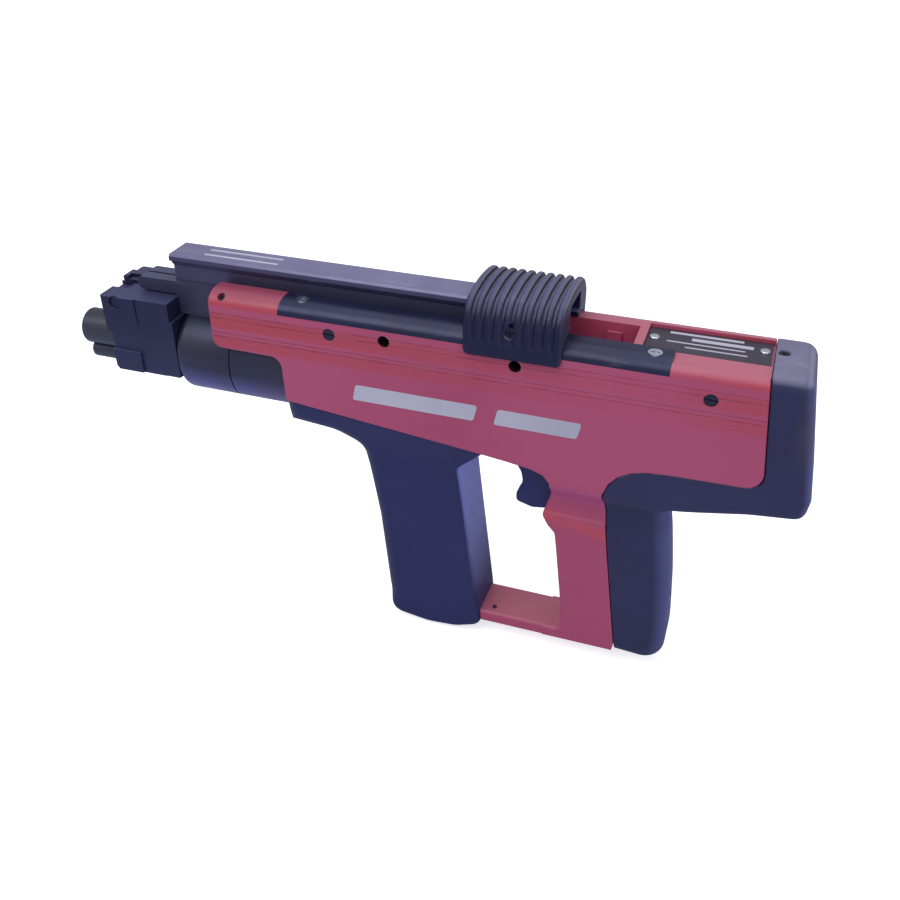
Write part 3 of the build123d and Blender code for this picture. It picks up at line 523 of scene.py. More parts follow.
def mat_moulded(name, c0, c1, rough0, rough1, grain=900.0, depth=0.00004, spec=0.4,
                edge_col=None, edge_amt=0.25, sheen=0.0, scuff=0.25, edge_r=0.0006, worn=False, **gains):
    m, nt, b = new_mat(name)
    nb = NB(nt)
    cloud = nb.noise(14.0, 4, 0.55)
    col = nb.mix(nb.rng(cloud, 0.35, 0.68, 0, 1), c0, c1)
    g = nb.noise(grain, 2, 0.6)
    v = nb.voronoi(grain * 0.7)
    height = nb.math("ADD", nb.math("MULTIPLY", g, 0.6), nb.math("MULTIPLY", v, 0.5))
    # rubbed marks
    sc = nb.noise(45.0, 5, 0.7, nb.mapping((0.5, 1.4, 2.2), rot=(0.2, 0.5, 0.1)))
    scm = nb.math("MULTIPLY", nb.rng(sc, 0.60, 0.74, 0, 1), scuff)
    lift = tuple(min(1.0, x * 2.2 + 0.012) for x in c1)
    col = nb.mix(scm, col, lift)
    if edge_col:
        e = nb.edge(edge_r, 0.08, 0.5)
        p = nb.rng(nb.noise(70.0, 4, 0.6), 0.38, 0.62, 0.2, 1)
        col = nb.mix(nb.math("MULTIPLY", nb.math("MULTIPLY", e, p), edge_amt), col, edge_col)
    # painted light on faces turned up, rearward or down
    col = lit_by_side(nb, col, **gains)
    if worn:
        # rubber rubbed brownish where the tool is set down, near the upper rear edge
        f = nb.math("MULTIPLY", nb.rng(nb.axis("X"), 0.4535, 0.4665, 0, 1), nb.rng(nb.axis("Z"), -0.006, 0.026, 0, 1))
        f = nb.math("MULTIPLY", f, nb.rng(nb.noise(60.0, 4, 0.6), 0.32, 0.62, 0.35, 0.9))
        col = nb.mix(f, col, (0.105, 0.082, 0.100))
    r = nb.rng(nb.noise(28.0, 4, 0.6), 0.3, 0.7, rough0, rough1)
    bm = nb.bump(height, depth, 0.55)
    finish_mat(nb, b, col, r, 0.0, bm, spec, sheen=sheen, sheen_tint=(0.6, 0.62, 0.9))
    return m


def mat_metal(name, c0, c1, rough0, rough1, metallic=1.0, brush=(0.08, 8, 8), depth=0.00002,
              edge_col=(0.35, 0.35, 0.40), edge_amt=0.35, spec=0.5, edge_r=0.0005, tint=None,
              scratches=0.3, painted_light_ramp=None, **gains):
    m, nt, b = new_mat(name)
    nb = NB(nt)
    cloud = nb.noise(16.0, 5, 0.6)
    col = nb.mix(nb.rng(cloud, 0.32, 0.68, 0, 1), c0, c1)
    if tint:
        t = nb.noise(10.0, 3, 0.5, nb.mapping((1.2, 1, 1.7), loc=(0.13, 0.4, 0.2)))
        col = nb.mix(nb.rng(t, 0.48, 0.68, 0, 0.8), col, tint)
    st = nb.noise(130.0, 4, 0.65, nb.mapping(brush))
    sc = nb.noise(55.0, 6, 0.75, nb.mapping((0.35, 2.2, 1.3), rot=(0.5, 0.3, 0.9)))
    scm = nb.math("MULTIPLY", nb.rng(sc, 0.61, 0.70, 0, 1), scratches)
    col = nb.mix(scm, col, edge_col)
    e = nb.edge(edge_r, 0.08, 0.5)
    p = nb.rng(nb.noise(85.0, 4, 0.65), 0.36, 0.60, 0.15, 1)
    col = nb.mix(nb.math("MULTIPLY", nb.math("MULTIPLY", e, p), edge_amt), col, edge_col)
    # painted light on faces turned up, rearward or down
    col = lit_by_side(nb, col, **gains)
    # painted light: a ramp in Z that lightens or darkens the colour from bottom to top
    if painted_light_ramp is not None:
        f = nb.rng(nb.axis("Z"), painted_light_ramp[0], painted_light_ramp[1], 0, 1)
        col = nb.mix(1.0, col, nb.mix(f, painted_light_ramp[2], painted_light_ramp[3]), "MULTIPLY")
    r = nb.rng(nb.noise(33.0, 4, 0.6), 0.3, 0.7, rough0, rough1)
    r = nb.math("ADD", r, nb.math("MULTIPLY", nb.math("SUBTRACT", st, 0.5), 0.12))
    bm = nb.bump(st, depth, 0.4)
    bm = nb.bump(nb.noise(700.0, 2, 0.5), depth * 0.8, 0.3, bm)
    finish_mat(nb, b, col, r, metallic, bm, spec)
    return m


# the up, rear and down gains and the Z ramp paint light: per-channel colour gains on faces by the way they face
MATS = {
    "red_paint": mat_red_paint(),
    "strip_black": mat_metal("strip_black", (0.0155, 0.017, 0.056), (0.023, 0.0265, 0.081), 0.30, 0.42,
                             metallic=0.35, brush=(0.05, 10, 10), edge_col=(0.11, 0.13, 0.19), edge_amt=0.5),
    "screw_zinc": mat_metal("screw_zinc", (0.55, 0.60, 0.68), (0.70, 0.74, 0.80), 0.24, 0.36,
                            edge_col=(0.85, 0.88, 0.92), scratches=0.2),
    "screw_black": mat_metal("screw_black", (0.022, 0.022, 0.045), (0.034, 0.034, 0.062), 0.34, 0.48,
                             metallic=0.6, edge_col=(0.16, 0.16, 0.22), edge_amt=0.5),
    "plate_black": mat_metal("plate_black", (0.060, 0.052, 0.075), (0.078, 0.068, 0.095), 0.36, 0.46,
                             metallic=0.5, edge_col=(0.3, 0.28, 0.34), scratches=0.25),
    "rubber_black": mat_moulded("rubber_black", (0.021, 0.0225, 0.076), (0.029, 0.031, 0.096), 0.50, 0.62,
                                grain=1100.0, depth=0.00006, spec=0.34, edge_col=(0.17, 0.14, 0.145),
                                edge_amt=0.6, sheen=0.10, scuff=0.22, worn=True, up=(7.9, 7.2, 3.5),
                                rear=(3.9, 4.1, 3.5)),
    "grip_plastic": mat_moulded("grip_plastic", (0.0140, 0.0175, 0.096), (0.019, 0.023, 0.113), 0.42, 0.54,
                                grain=800.0, depth=0.00004, spec=0.40, edge_col=(0.09, 0.095, 0.18),
                                edge_amt=0.3, sheen=0.06, scuff=0.15, rear=(20.0, 19.0, 8.6),
                                rear_z=(-0.150, -0.055)),
    "grip_ribbed": mat_moulded("grip_ribbed", (0.0072, 0.0078, 0.043), (0.011, 0.0115, 0.057), 0.36, 0.48,
                               grain=1000.0, depth=0.00004, spec=0.34, edge_col=(0.12, 0.125, 0.18),
                               edge_amt=0.45, scuff=0.2, up=(11.0, 10.4, 4.1), rear=(5.6, 5.2, 2.0)),
    "trigger_plastic": mat_moulded("trigger_plastic", (0.018, 0.0240, 0.118), (0.025, 0.032, 0.138), 0.38, 0.50,
                                   grain=900.0, depth=0.00003, spec=0.4, edge_col=(0.08, 0.085, 0.17),
                                   edge_amt=0.3),
    "steel_internal": mat_metal("steel_internal", (0.42, 0.42, 0.46), (0.55, 0.55, 0.58), 0.22, 0.34,
                                edge_col=(0.75, 0.75, 0.78)),
    "spring_steel": mat_metal("spring_steel", (0.38, 0.38, 0.41), (0.48, 0.48, 0.50), 0.25, 0.35,
                              edge_col=(0.7, 0.7, 0.72)),
    "brass": mat_metal("brass", (0.62, 0.42, 0.15), (0.74, 0.53, 0.24), 0.22, 0.36, edge_col=(0.9, 0.75, 0.45),
                       tint=(0.45, 0.30, 0.12)),
    "strip_plastic": mat_moulded("strip_plastic", (0.60, 0.38, 0.02), (0.66, 0.44, 0.04), 0.30, 0.40,
                                 grain=600.0, depth=0.00002, spec=0.5),
    "blued_steel": mat_metal("blued_steel", (0.046, 0.048, 0.086), (0.065, 0.067, 0.120), 0.30, 0.42,
                             metallic=0.75, brush=(6, 0.25, 0.25), depth=0.00003, edge_col=(0.25, 0.27, 0.36),
                             edge_amt=0.45, tint=(0.070, 0.060, 0.060), scratches=0.35,
                             up=(0.38, 0.48, 0.60), down=(3.2, 2.9, 4.3)),
    "block_black": mat_metal("block_black", (0.022, 0.024, 0.066), (0.031, 0.033, 0.082), 0.42, 0.54,
                             metallic=0.35, brush=(0.3, 3, 3), edge_col=(0.12, 0.13, 0.20), edge_amt=0.5,
                             scratches=0.2, up=(3.0, 2.9, 2.2),
                             painted_light_ramp=(-0.014, 0.022, (1.3, 1.3, 1.35), (0.72, 0.72, 0.92))),
    "rail_black": mat_metal("rail_black", (0.066, 0.064, 0.132), (0.087, 0.084, 0.165), 0.34, 0.44,
                            metallic=0.4, brush=(0.04, 12, 12), edge_col=(0.20, 0.195, 0.28), edge_amt=0.5,
                            scratches=0.25, up=(3.0, 3.0, 2.6)),
    "buffer_rubber": mat_moulded("buffer_rubber", (0.02, 0.02, 0.02), (0.03, 0.03, 0.03), 0.6, 0.7),
    "mark_pale": mat_moulded("mark_pale", (0.46, 0.46, 0.56), (0.54, 0.54, 0.64), 0.40, 0.52, grain=1400.0,
                             depth=0.00001, spec=0.4, scuff=0.1),
}

SLOT_OF = {s["node"]: s["material_slot"] for s in frame["record"]["subparts"]}


def use(obj, mat):
    obj.data.materials.clear()
    obj.data.materials.append(mat)


for n, o in NODES.items():
    use(o, MATS[SLOT_OF[n]])

# the nose tube is worn brighter than the barrel; the bracket matches the rail's lighter black
TUBE = mat_metal("blued_steel_worn", (0.060, 0.066, 0.090), (0.086, 0.095, 0.126), 0.28, 0.40, metallic=0.75,
                 brush=(6, 0.25, 0.25), depth=0.00003, edge_col=(0.27, 0.29, 0.36), edge_amt=0.5,
                 tint=(0.095, 0.085, 0.075), scratches=0.4)
# the bracket's up gain is painted light on its top faces
BRACKET = mat_metal("bracket_black", (0.044, 0.046, 0.098), (0.060, 0.062, 0.124), 0.40, 0.52, metallic=0.35,
                    brush=(0.3, 3, 3), edge_col=(0.13, 0.14, 0.21), edge_amt=0.5, scratches=0.2, up=(1.6, 1.6, 1.6))
for n in ("nose_tube", "nose_plunger"):
    use(NODES[n], TUBE)
use(NODES["rail_bracket"], BRACKET)


# ----------------------------------------------------------------- soft forms
def mesh_obj(name, verts, faces, mat=None, smooth=True):
    me = bpy.data.meshes.new(name)
    verts = np.asarray(verts, dtype=np.float32)
    faces = np.asarray(faces, dtype=np.int32)
    me.vertices.add(len(verts))
    me.vertices.foreach_set("co", verts.ravel())
    k = faces.shape[1]
    me.loops.add(len(faces) * k)
    me.loops.foreach_set("vertex_index", faces.ravel())
    me.polygons.add(len(faces))
    me.polygons.foreach_set("loop_start", np.arange(len(faces), dtype=np.int32) * k)
    me.polygons.foreach_set("use_smooth", np.full(len(faces), bool(smooth)))
    me.update(calc_edges=True)
    me.validate()
    o = bpy.data.objects.new(name, me)
    SC.collection.objects.link(o)
    if mat:
        me.materials.append(mat)
    return o


def axes(lo, hi, vs):
    out = []
    for i in range(3):
        n = int(round((hi[i] - lo[i]) / vs)) + 1
        g = (lo[i] + vs * np.arange(n)).astype(np.float32)
        shape = [1, 1, 1]
        shape[i] = n
        out.append(g.reshape(shape))
    return out


def rounded(pts, n=7):
    """Outline of (u, v[, r]) corners as a dense list of points."""
    out = []
    m = len(pts)
    for i in range(m):
        a, b, c = np.array(pts[i - 1][:2], float), np.array(pts[i][:2], float), np.array(pts[(i + 1) % m][:2], float)
        r = pts[i][2] if len(pts[i]) > 2 else 0.0
        if r <= 0:
            out.append(tuple(b))
            continue
        u, v = a - b, c - b
        lu, lv = np.linalg.norm(u), np.linalg.norm(v)
        u, v = u / lu, v / lv
        ang = math.acos(max(-1.0, min(1.0, float(u @ v))))
        t = min(r / math.tan(ang / 2), 0.49 * lu, 0.49 * lv)
        p1, p2 = b + u * t, b + v * t
        for k in range(n + 1):
            w = k / n
            q = (1 - w) ** 2 * p1 + 2 * w * (1 - w) * b + w * w * p2
            # a parabola stands in for the true arc
            out.append(tuple(q))
    return out


def poly2(U, V, pts, n=7):
    """Signed distance to an outline, negative inside."""
    pts = rounded(pts, n)
    shape = np.broadcast(U, V).shape
    d = np.full(shape, 1e9, dtype=np.float32)
    ins = np.zeros(shape, dtype=bool)
    for (x1, z1), (x2, z2) in zip(pts, pts[1:] + pts[:1]):
        ex, ez = x2 - x1, z2 - z1
        l2 = ex * ex + ez * ez
        if l2 < 1e-9:
            continue
        wx, wz = U - x1, V - z1
        t = np.clip((wx * ex + wz * ez) / l2, 0, 1)
        d = np.minimum(d, (wx - ex * t) ** 2 + (wz - ez * t) ** 2)
        if abs(ez) > 1e-9:
            cond = ((z1 <= V) & (z2 > V)) | ((z2 <= V) & (z1 > V))
            xi = x1 + (V - z1) / ez * ex
            ins ^= cond & (U < xi)
    return np.where(ins, -np.sqrt(d), np.sqrt(d)).astype(np.float32)


def both(a, b, r=0.0):
    """Intersection with a true radius r at the edge."""
    a, b = a + r, b + r
    return np.minimum(np.maximum(a, b), 0) + np.sqrt(np.maximum(a, 0) ** 2 + np.maximum(b, 0) ** 2) - r


def smin(a, b, k):
    h = np.clip(0.5 + 0.5 * (b - a) / k, 0, 1)
    return b * (1 - h) + a * h - k * h * (1 - h)


def smax(a, b, k):
    return -smin(-a, -b, k)


def cut(a, b, k=0.0):
    return smax(a, -b, k) if k else np.maximum(a, -b)


def cyl(P, Q, p, q, r):
    return np.sqrt((P - p) ** 2 + (Q - q) ** 2) - r


def slab(A, a0, a1):
    return np.abs(A - (a0 + a1) / 2) - (a1 - a0) / 2


def box3(X, Y, Z, x0, x1, y0, y1, z0, z1):
    return np.maximum(np.maximum(slab(X, x0, x1), slab(Y, y0, y1)), slab(Z, z0, z1))


def curve(Z, pts, width=5.0):
    """Smoothed profile value against Z from (z, value) points."""
    zz = np.linspace(-220, 120, 3401)
    pts = sorted(pts)
    v = np.interp(zz, [q[0] for q in pts], [q[1] for q in pts])
    n = max(1, int(width / 0.1))
    ker = np.hanning(n + 2)[1:-1]
    ker /= ker.sum()
    pad = n
    vp = np.concatenate([np.full(pad, v[0]), v, np.full(pad, v[-1])])
    v = np.convolve(vp, ker, mode="same")[pad:-pad]
    return np.interp(Z, zz, v).astype(np.float32)


def surface(D, lo, vs):
    """Closed quad surface where D crosses zero, points in metres."""
    nx, ny, nz = D.shape
    S = D < 0
    C = (nx - 1, ny - 1, nz - 1)
    acc = np.zeros(C + (3,), dtype=np.float32)
    cnt = np.zeros(C, dtype=np.uint8)
    crossings = []
    for ax in range(3):
        sa = [slice(None)] * 3
        sb = [slice(None)] * 3
        sa[ax], sb[ax] = slice(0, -1), slice(1, None)
        A, B = D[tuple(sa)], D[tuple(sb)]
        X = S[tuple(sa)] != S[tuple(sb)]
        T = np.zeros(A.shape, dtype=np.float32)
        T[X] = A[X] / (A[X] - B[X])
        crossings.append((X, S[tuple(sa)]))
        o1, o2 = [k for k in range(3) if k != ax]
        for d1 in (0, 1):
            for d2 in (0, 1):
                sl = [slice(None)] * 3
                sl[o1] = slice(d1, d1 + C[o1])
                sl[o2] = slice(d2, d2 + C[o2])
                x = X[tuple(sl)]
                t = T[tuple(sl)]
                cnt += x
                acc[..., ax] += np.where(x, t, 0)
                acc[..., o1] += x * np.float32(d1)
                acc[..., o2] += x * np.float32(d2)
    mask = cnt > 0
    idx = np.full(C, -1, dtype=np.int32)
    idx[mask] = np.arange(int(mask.sum()), dtype=np.int32)
    cells = np.argwhere(mask).astype(np.float32)
    pos = acc[mask] / cnt[mask][:, None] + cells
    pos = (pos * vs + np.array(lo, dtype=np.float32)) * MM
    quads = []
    for ax in range(3):
        X, inside = crossings[ax]
        o1, o2 = (ax + 1) % 3, (ax + 2) % 3
        sl = [slice(None)] * 3
        sl[o1] = slice(1, -1)
        sl[o2] = slice(1, -1)
        Xc = X[tuple(sl)]
        e = np.argwhere(Xc)
        flip = inside[tuple(sl)][Xc]
        base = e.copy()
        base[:, o1] += 1
        base[:, o2] += 1

        def at(d1, d2):
            q = base.copy()
            q[:, o1] -= d1
            q[:, o2] -= d2
            return idx[q[:, 0], q[:, 1], q[:, 2]]
        a, b, c, d = at(1, 1), at(0, 1), at(0, 0), at(1, 0)
        q = np.stack([a, b, c, d], axis=1)
        q[~flip] = q[~flip][:, ::-1]
        quads.append(q)
    return pos, np.concatenate(quads)


def relax(pos, quads, steps=2, lam=0.5):
    """A little Laplacian fairing of a quad surface."""
    e = np.concatenate([quads[:, [0, 1]], quads[:, [1, 2]], quads[:, [2, 3]], quads[:, [3, 0]]])
    n = len(pos)
    p = pos.astype(np.float64)
    deg = np.bincount(e[:, 0], minlength=n) + np.bincount(e[:, 1], minlength=n)
    for s in range(steps):
        for f in (lam, -lam * 1.04):
            m = np.zeros_like(p)
            for k in range(3):
                m[:, k] = (np.bincount(e[:, 0], weights=p[e[:, 1], k], minlength=n)
                           + np.bincount(e[:, 1], weights=p[e[:, 0], k], minlength=n))
            m /= np.maximum(deg, 1)[:, None]
            p += f * (m - p)
    return p.astype(np.float32)


def formed(name, D, lo, vs, mat, body, node, fair=2):
    pos, quads = surface(D, lo, vs)
    if fair:
        pos = relax(pos, quads, fair)
    o = mesh_obj(name, pos, quads, mat)
    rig.ride(o, body)
    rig.replaces(o, node)
    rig.slot(o, SLOT_OF[node])
    return o


BODY_LINE = [
    (111.8, 60.0), (111.5, 15.5, 6.0), (156.9, 15.0, 7.0), (158.1, -14.3, 3.0),
    (278.6, -26.7), (300.0, -29.2), (315.2, -31.4), (322.0, -34.0), (327.7, -40.3), (343.0, -39.8),
    (358.6, -39.0), (361.2, -31.5), (366.5, -25.2), (373.5, -21.2), (382.0, -18.9), (395.2, -17.9),
    (444.9, -16.8, 9.5), (436.5, 60.0)]
HANDLE_LINE = [(300.0, -30.0), (300.0, -200.0), (373.3, -200.0), (373.6, -164.9), (361.3, -75.2),
               (357.8, -45.9), (358.2, -30.0)]
NECK = [(-36.5, 28.0), (-42.3, 26.7), (-47.0, 22.4), (-51.6, 18.0), (-57.0, 15.3), (-62.5, 15.0),
        (-68.0, 16.7), (-74.5, 18.0), (-92.0, 18.0), (-168.5, 16.0)]


def make_butt_pad():
    vs = 0.7 if not QUICK else 1.0
    lo, hi = (350.0, -29.4, -176.2), (473.5, 29.4, 53.6)
    X, Y, Z = axes(lo, hi, vs)
    aY = np.abs(Y)
    out = [(430.0, 51.1), (459.2, 51.1, 9.0), (470.9, -22.0, 4.0), (469.3, -34.5, 12.0),
           (440.0, -37.6, 30.0), (399.0, -45.6, 3.0), (392.0, -50.0), (340.0, -50.0), (340.0, -10.0),
           (430.0, -10.0)]
    w = curve(Z, [(z, v) for z, v in NECK], 4.0)
    main = both(poly2(X, Z, out), aY - 27.9, 8.0)
    main = smax(main, (aY - w) * 0.72, 2.5)
    xr = curve(Z, [(-38, 393.9), (-54, 395.9), (-80, 399.3), (-108, 402.8), (-145, 405.7), (-175, 404.5)], 22.0)
    r = np.minimum(14.0, w - 0.6)
    col = both(X - xr, aY - w, 0.0)
    qx, qy = X - (xr - r), aY - (w - r)
    col = np.minimum(np.maximum(qx, qy), 0) + np.sqrt(np.maximum(qx, 0) ** 2 + np.maximum(qy, 0) ** 2) - r
    foot = -171.6 - 2.0 * (X - 372.0) / 30.6 - Z
    col = both(col, foot, 9.0)
    col = np.maximum(col, Z + 30.0)
    pad = smin(main, col, 8.0)
    pad = np.maximum(pad, (aY - np.minimum(w, 27.9)) * 0.72)
    env = poly2(X, Z, BODY_LINE) - 0.35
    hnd = poly2(X, Z, HANDLE_LINE) - 0.35
    pad = cut(pad, env, 0.9)
    pad = cut(pad, hnd, 0.9)
    pad = cut(pad, np.maximum(cyl(Y, Z, 0, 0, 10.6), X - 445.0))
    pad = cut(pad, np.maximum(cyl(X, Y, 442.3, 5.5, 2.7), 44.0 - Z), 0.5)
    pad = cut(pad, np.maximum(cyl(Y, Z, 0, -126.0, 2.1), X - 399.0))
    pad = cut(pad, np.maximum(cyl(Y, Z, 0, -126.0, 3.6), 398.0 - X), 0.6)
    # mould marks: a shallow round dimple on top
    pad = smax(pad, -(np.sqrt((X - 442.3) ** 2 + (Y - 5.5) ** 2 + (Z - 54.3) ** 2) - 5.0), 0.8)
    return formed("butt_pad_form", pad, lo, vs, MATS["rubber_black"], "housing", "butt_pad", 3)


def make_front_grip():
    vs = 0.65 if not QUICK else 1.0
    lo, hi = (153.0, -29.4, -183.4), (289.5, 29.4, -8.0)
    X, Y, Z = axes(lo, hi, vs)
    aY = np.abs(Y)
    line = [(155.2, 0.0), (155.2, -33.2, 1.5), (186.0, -36.8, 24.0), (202.2, -44.8, 12.0), (205.2, -61.5, 40.0),
            (211.0, -98.4, 60.0), (216.2, -157.0, 40.0), (219.6, -177.5, 11.0), (246.0, -181.4, 40.0),
            (266.0, -180.0, 30.0), (283.6, -173.5, 8.0), (282.3, -161.2), (268.2, -46.1, 6.0),
            (278.6, -36.4, 8.0), (287.5, -27.0, 1.0), (287.5, 0.0)]
    wc = curve(Z, [(-14, 27.7), (-22, 26.9), (-30, 24.4), (-38, 21.9), (-48, 20.1), (-60, 19.2), (-75, 19.0),
                   (-120, 19.0)], 18.0)
    fr = np.clip((X - 232.0) / 20.0, 0, 1)
    fr = fr * fr * (3 - 2 * fr)
    low = np.clip((-158.0 - Z) / 16.0, 0, 1)
    low = low * low * (3 - 2 * low)
    r = (10.0 * (1 - fr) + 3.0 * fr) * (1 - low) + 4.6 * low
    g = both(poly2(X, Z, line, 12), (aY - wc) * 0.93, r.astype(np.float32))
    g = cut(g, poly2(X, Z, BODY_LINE) - 0.12, 0.5)
    bore = np.minimum(np.minimum(cyl(Y, Z, 0, 0, 26.4), cyl(Y, Z, 0, -2.5, 26.4)),
                      np.maximum(aY - 26.4, slab(Z, -2.5, 0.0)))
    g = cut(g, np.maximum(bore, X - 242.5))
    g = cut(g, np.maximum(cyl(Y, Z, 0, 0, 20.0), X - 262.0))
    g = cut(g, box3(X, Y, Z, 230.8, 243.7, -4.8, 4.8, -200, 0), 0.7)
    g = cut(g, box3(X, Y, Z, 243.0, 264.0, -4.8, 4.8, -74, -42))
    g = cut(g, box3(X, Y, Z, 282.3, 300.0, -15.7, 15.7, -169.7, -161.6))
    return formed("front_grip_form", g, lo, vs, MATS["grip_plastic"], "housing", "front_grip", 3)


def shoulder_pts(w, zs, zt, run=11.5, n=14):
    left = []
    for k in range(n + 1):
        t = k / n
        p = [(-w, zs), (-w, zs + 0.55 * (zt - zs)), (-w + 0.45 * run, zt), (-w + run, zt)]
        b = [(1 - t) ** 3, 3 * t * (1 - t) ** 2, 3 * t * t * (1 - t), t ** 3]
        left.append((sum(b[i] * p[i][0] for i in range(4)), sum(b[i] * p[i][1] for i in range(4))))
    right = [(-y, z) for y, z in reversed(left)]
    return [(-w, 0.0)] + left + right + [(w, 0.0)]


GX0, GX1, GRIBS = 273.2, 329.2, 10


def make_cycling_grip():
    vs = 0.4 if not QUICK else 0.6
    lo, hi = (271.6, -33.2, 37.4), (330.8, 33.2, 76.2)
    X, Y, Z = axes(lo, hi, vs)
    aY = np.abs(Y)
    top = 74.4 - 1.7 * (aY / 18.0) ** 2
    sec = both(aY - 31.4, (Z - top) * 0.985, 12.5)
    ends = poly2(X, Z, [(GX0, 39.2, 4.0), (GX1, 39.2, 4.0), (GX1 + 0.1, 90.0), (GX0 - 0.1, 90.0)])
    shell = both(sec, ends, 2.6)
    pitch = (GX1 - GX0) / GRIBS
    depth = curve(Z, [(44, 0.7), (50, 1.0), (60, 1.6), (68, 2.3), (76, 2.6)], 5.0)
    for i in range(1, GRIBS):
        xc = GX0 + i * pitch
        half = 1.15
        low = 48.5 - Z
        gr = both(np.abs(X - xc) - half, -(sec + depth), 0.8)
        gr = smax(gr, low, 2.0)
        shell = cut(shell, gr, 1.3)
    inner = poly2(Y, Z, shoulder_pts(28.4, 44.0, 52.0))
    shell = cut(shell, inner, 0.6)
    rail = [(-9.7, 64.7), (-11.05, 63.2), (-11.05, 60.4), (-8.6, 59.2), (-8.0, 57.6), (-6.75, 56.6), (-6.75, 40.0),
            (6.75, 40.0), (6.75, 56.6), (8.0, 57.6), (8.6, 59.2), (11.05, 60.4), (11.05, 63.2), (9.7, 64.7)]
    shell = cut(shell, np.maximum(poly2(Y, Z, rail), X - 323.3))
    shell = cut(shell, both(both(aY - 12.4, slab(Z, 55.5, 67.6), 2.0), (GX1 - 8.5) - X, 0.3), 0.6)
    shell = cut(shell, both(both(aY - 9.2, slab(Z, 45.0, 58.5), 1.0), (GX1 - 8.5) - X, 0.3), 0.6)
    hole = cyl(X, Z, 300.4, 55.9, 3.35)
    slot = both(slab(X, 299.3, 301.5), slab(Z, 55.9, 61.2), 0.8)
    shell = cut(shell, np.maximum(np.minimum(hole, slot), 26.6 - aY), 0.5)
    shell = cut(shell, np.maximum(cyl(X, Z, 300.4, 55.9, 1.7), aY - 27.0))
    return formed("cycling_grip_form", shell, lo, vs, MATS["grip_ribbed"], "barrel_unit", "cycling_grip", 1)


def make_trigger():
    vs = 0.35 if not QUICK else 0.5
    lo, hi = (297.0, -7.6, -77.2), (361.6, 7.6, -19.0)
    X, Y, Z = axes(lo, hi, vs)
    aY = np.abs(Y)
    line = [(297.4, -38.0), (300.6, -45.1, 6.0), (303.7, -50.4, 7.0), (304.9, -56.2, 8.0), (304.0, -62.0, 7.0),
            (301.2, -67.0, 3.0), (301.4, -72.6, 3.2), (312.0, -75.6, 6.0), (323.6, -73.8, 2.0),
            (326.2, -62.0), (327.0, -50.0), (327.4, -38.0), (327.5, -31.0), (327.5, -22.5),
            (320.0, -22.0), (313.0, -26.0), (303.0, -33.0)]
    t = both(poly2(X, Z, line), aY - 6.0, 2.4)
    tail = both(poly2(X, Z, [(318.0, -29.5), (344.0, -27.2), (359.0, -26.6, 1.0), (359.0, -21.5, 1.0),
                             (354.5, -21.5), (348.0, -24.5), (318.0, -24.5)]), aY - 4.6, 0.4)
    t = np.minimum(t, tail)
    t = cut(t, cyl(X, Z, 321.0, -28.0, 2.06))
    return formed("trigger_form", t, lo, vs, MATS["trigger_plastic"], "trigger", "trigger", 2)


QUICK = bool(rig.quick()) if callable(getattr(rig, "quick", None)) else False
make_butt_pad()
make_front_grip()
make_cycling_grip()
make_trigger()


# ------------------------------------------------------------ marks on the sides
def strip_mesh(name, top, thick, mat, body, slot_name):
    """Closed thin slab from a list of outer corners (world, metres) along a normal."""
    n = Vector(thick)
    bm = bmesh.new()
    a = [bm.verts.new(Vector(p) + n) for p in top]
    b = [bm.verts.new(Vector(p) - n * 0.5) for p in top]
    bm.faces.new(a)
    bm.faces.new(list(reversed(b)))
    for i in range(len(a)):
        k = (i + 1) % len(a)
        bm.faces.new([a[i], b[i], b[k], a[k]])
    bmesh.ops.recalc_face_normals(bm, faces=bm.faces)
    me = bpy.data.meshes.new(name)
    bm.to_mesh(me)
    bm.free()
    o = bpy.data.objects.new(name, me)
    SC.collection.objects.link(o)
    me.materials.append(mat)
    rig.ride(o, body)
    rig.slot(o, slot_name)
    return o


def rounded_bar(cx_, cz_, length, height, slant, r, n=5):
    """Outline in X, Z (mm) of a slanted bar with rounded corners."""
    pts = []
    for sx, sz, a0 in ((1, -1, -90), (1, 1, 0), (-1, 1, 90), (-1, -1, 180)):
        for k in range(n + 1):
            a = math.radians(a0 + 90 * k / n)
            u = sx * (length / 2 - r) + r * math.cos(a)
            v = sz * (height / 2 - r) + r * math.sin(a)
            pts.append((cx_ + u + slant * v, cz_ + v))
    return pts


def flat_bar(name, outline, plane, level, thick, body, slot_name="screw_zinc"):
    """A thin plain bar lying on a side (plane "Y") or a top (plane "Z")."""
    if plane == "Y":
        top = [(u * MM, level * MM, v * MM) for u, v in outline]
        n = (0, -thick * MM, 0)
    else:
        top = [(u * MM, v * MM, level * MM) for u, v in outline]
        n = (0, 0, thick * MM)
    return strip_mesh(name, top, n, MATS["mark_pale"], body, slot_name)


MARKS_SIDE = [(242.8, 0.6, 76.0), (317.5, 0.6, 49.0)]
MARKS_RAIL = [(123.5, -3.7, 50.0, 2.0), (123.5, 3.7, 50.0, 2.0)]
MARKS_PLATE = [(401.0, 12.9, 40.0, 2.4), (410.0, 7.3, 33.0, 3.4), (401.5, 2.0, 42.0, 1.3), (407.5, -3.0, 33.0, 1.3)]

# plain printed bars on the operator's side, the rail and the plate
for i, (bx_, bz_, bl) in enumerate(MARKS_SIDE):
    flat_bar("side_bar_%d" % i, rounded_bar(bx_, bz_, bl, 10.5, 0.22, 1.6), "Y", -28.0, 0.14, "housing")
for i, (bx_, by_, bl, bw) in enumerate(MARKS_RAIL):
    flat_bar("rail_bar_%d" % i, rounded_bar(bx_, by_, bl, bw, 0.0, 0.7), "Z", 64.6, 0.12, "barrel_unit")
for i, (bx_, by_, bl, bw) in enumerate(MARKS_PLATE):
    flat_bar("plate_bar_%d" % i, rounded_bar(bx_, by_, bl, bw, 0.0, 0.5), "Z", 49.6, 0.10, "housing")

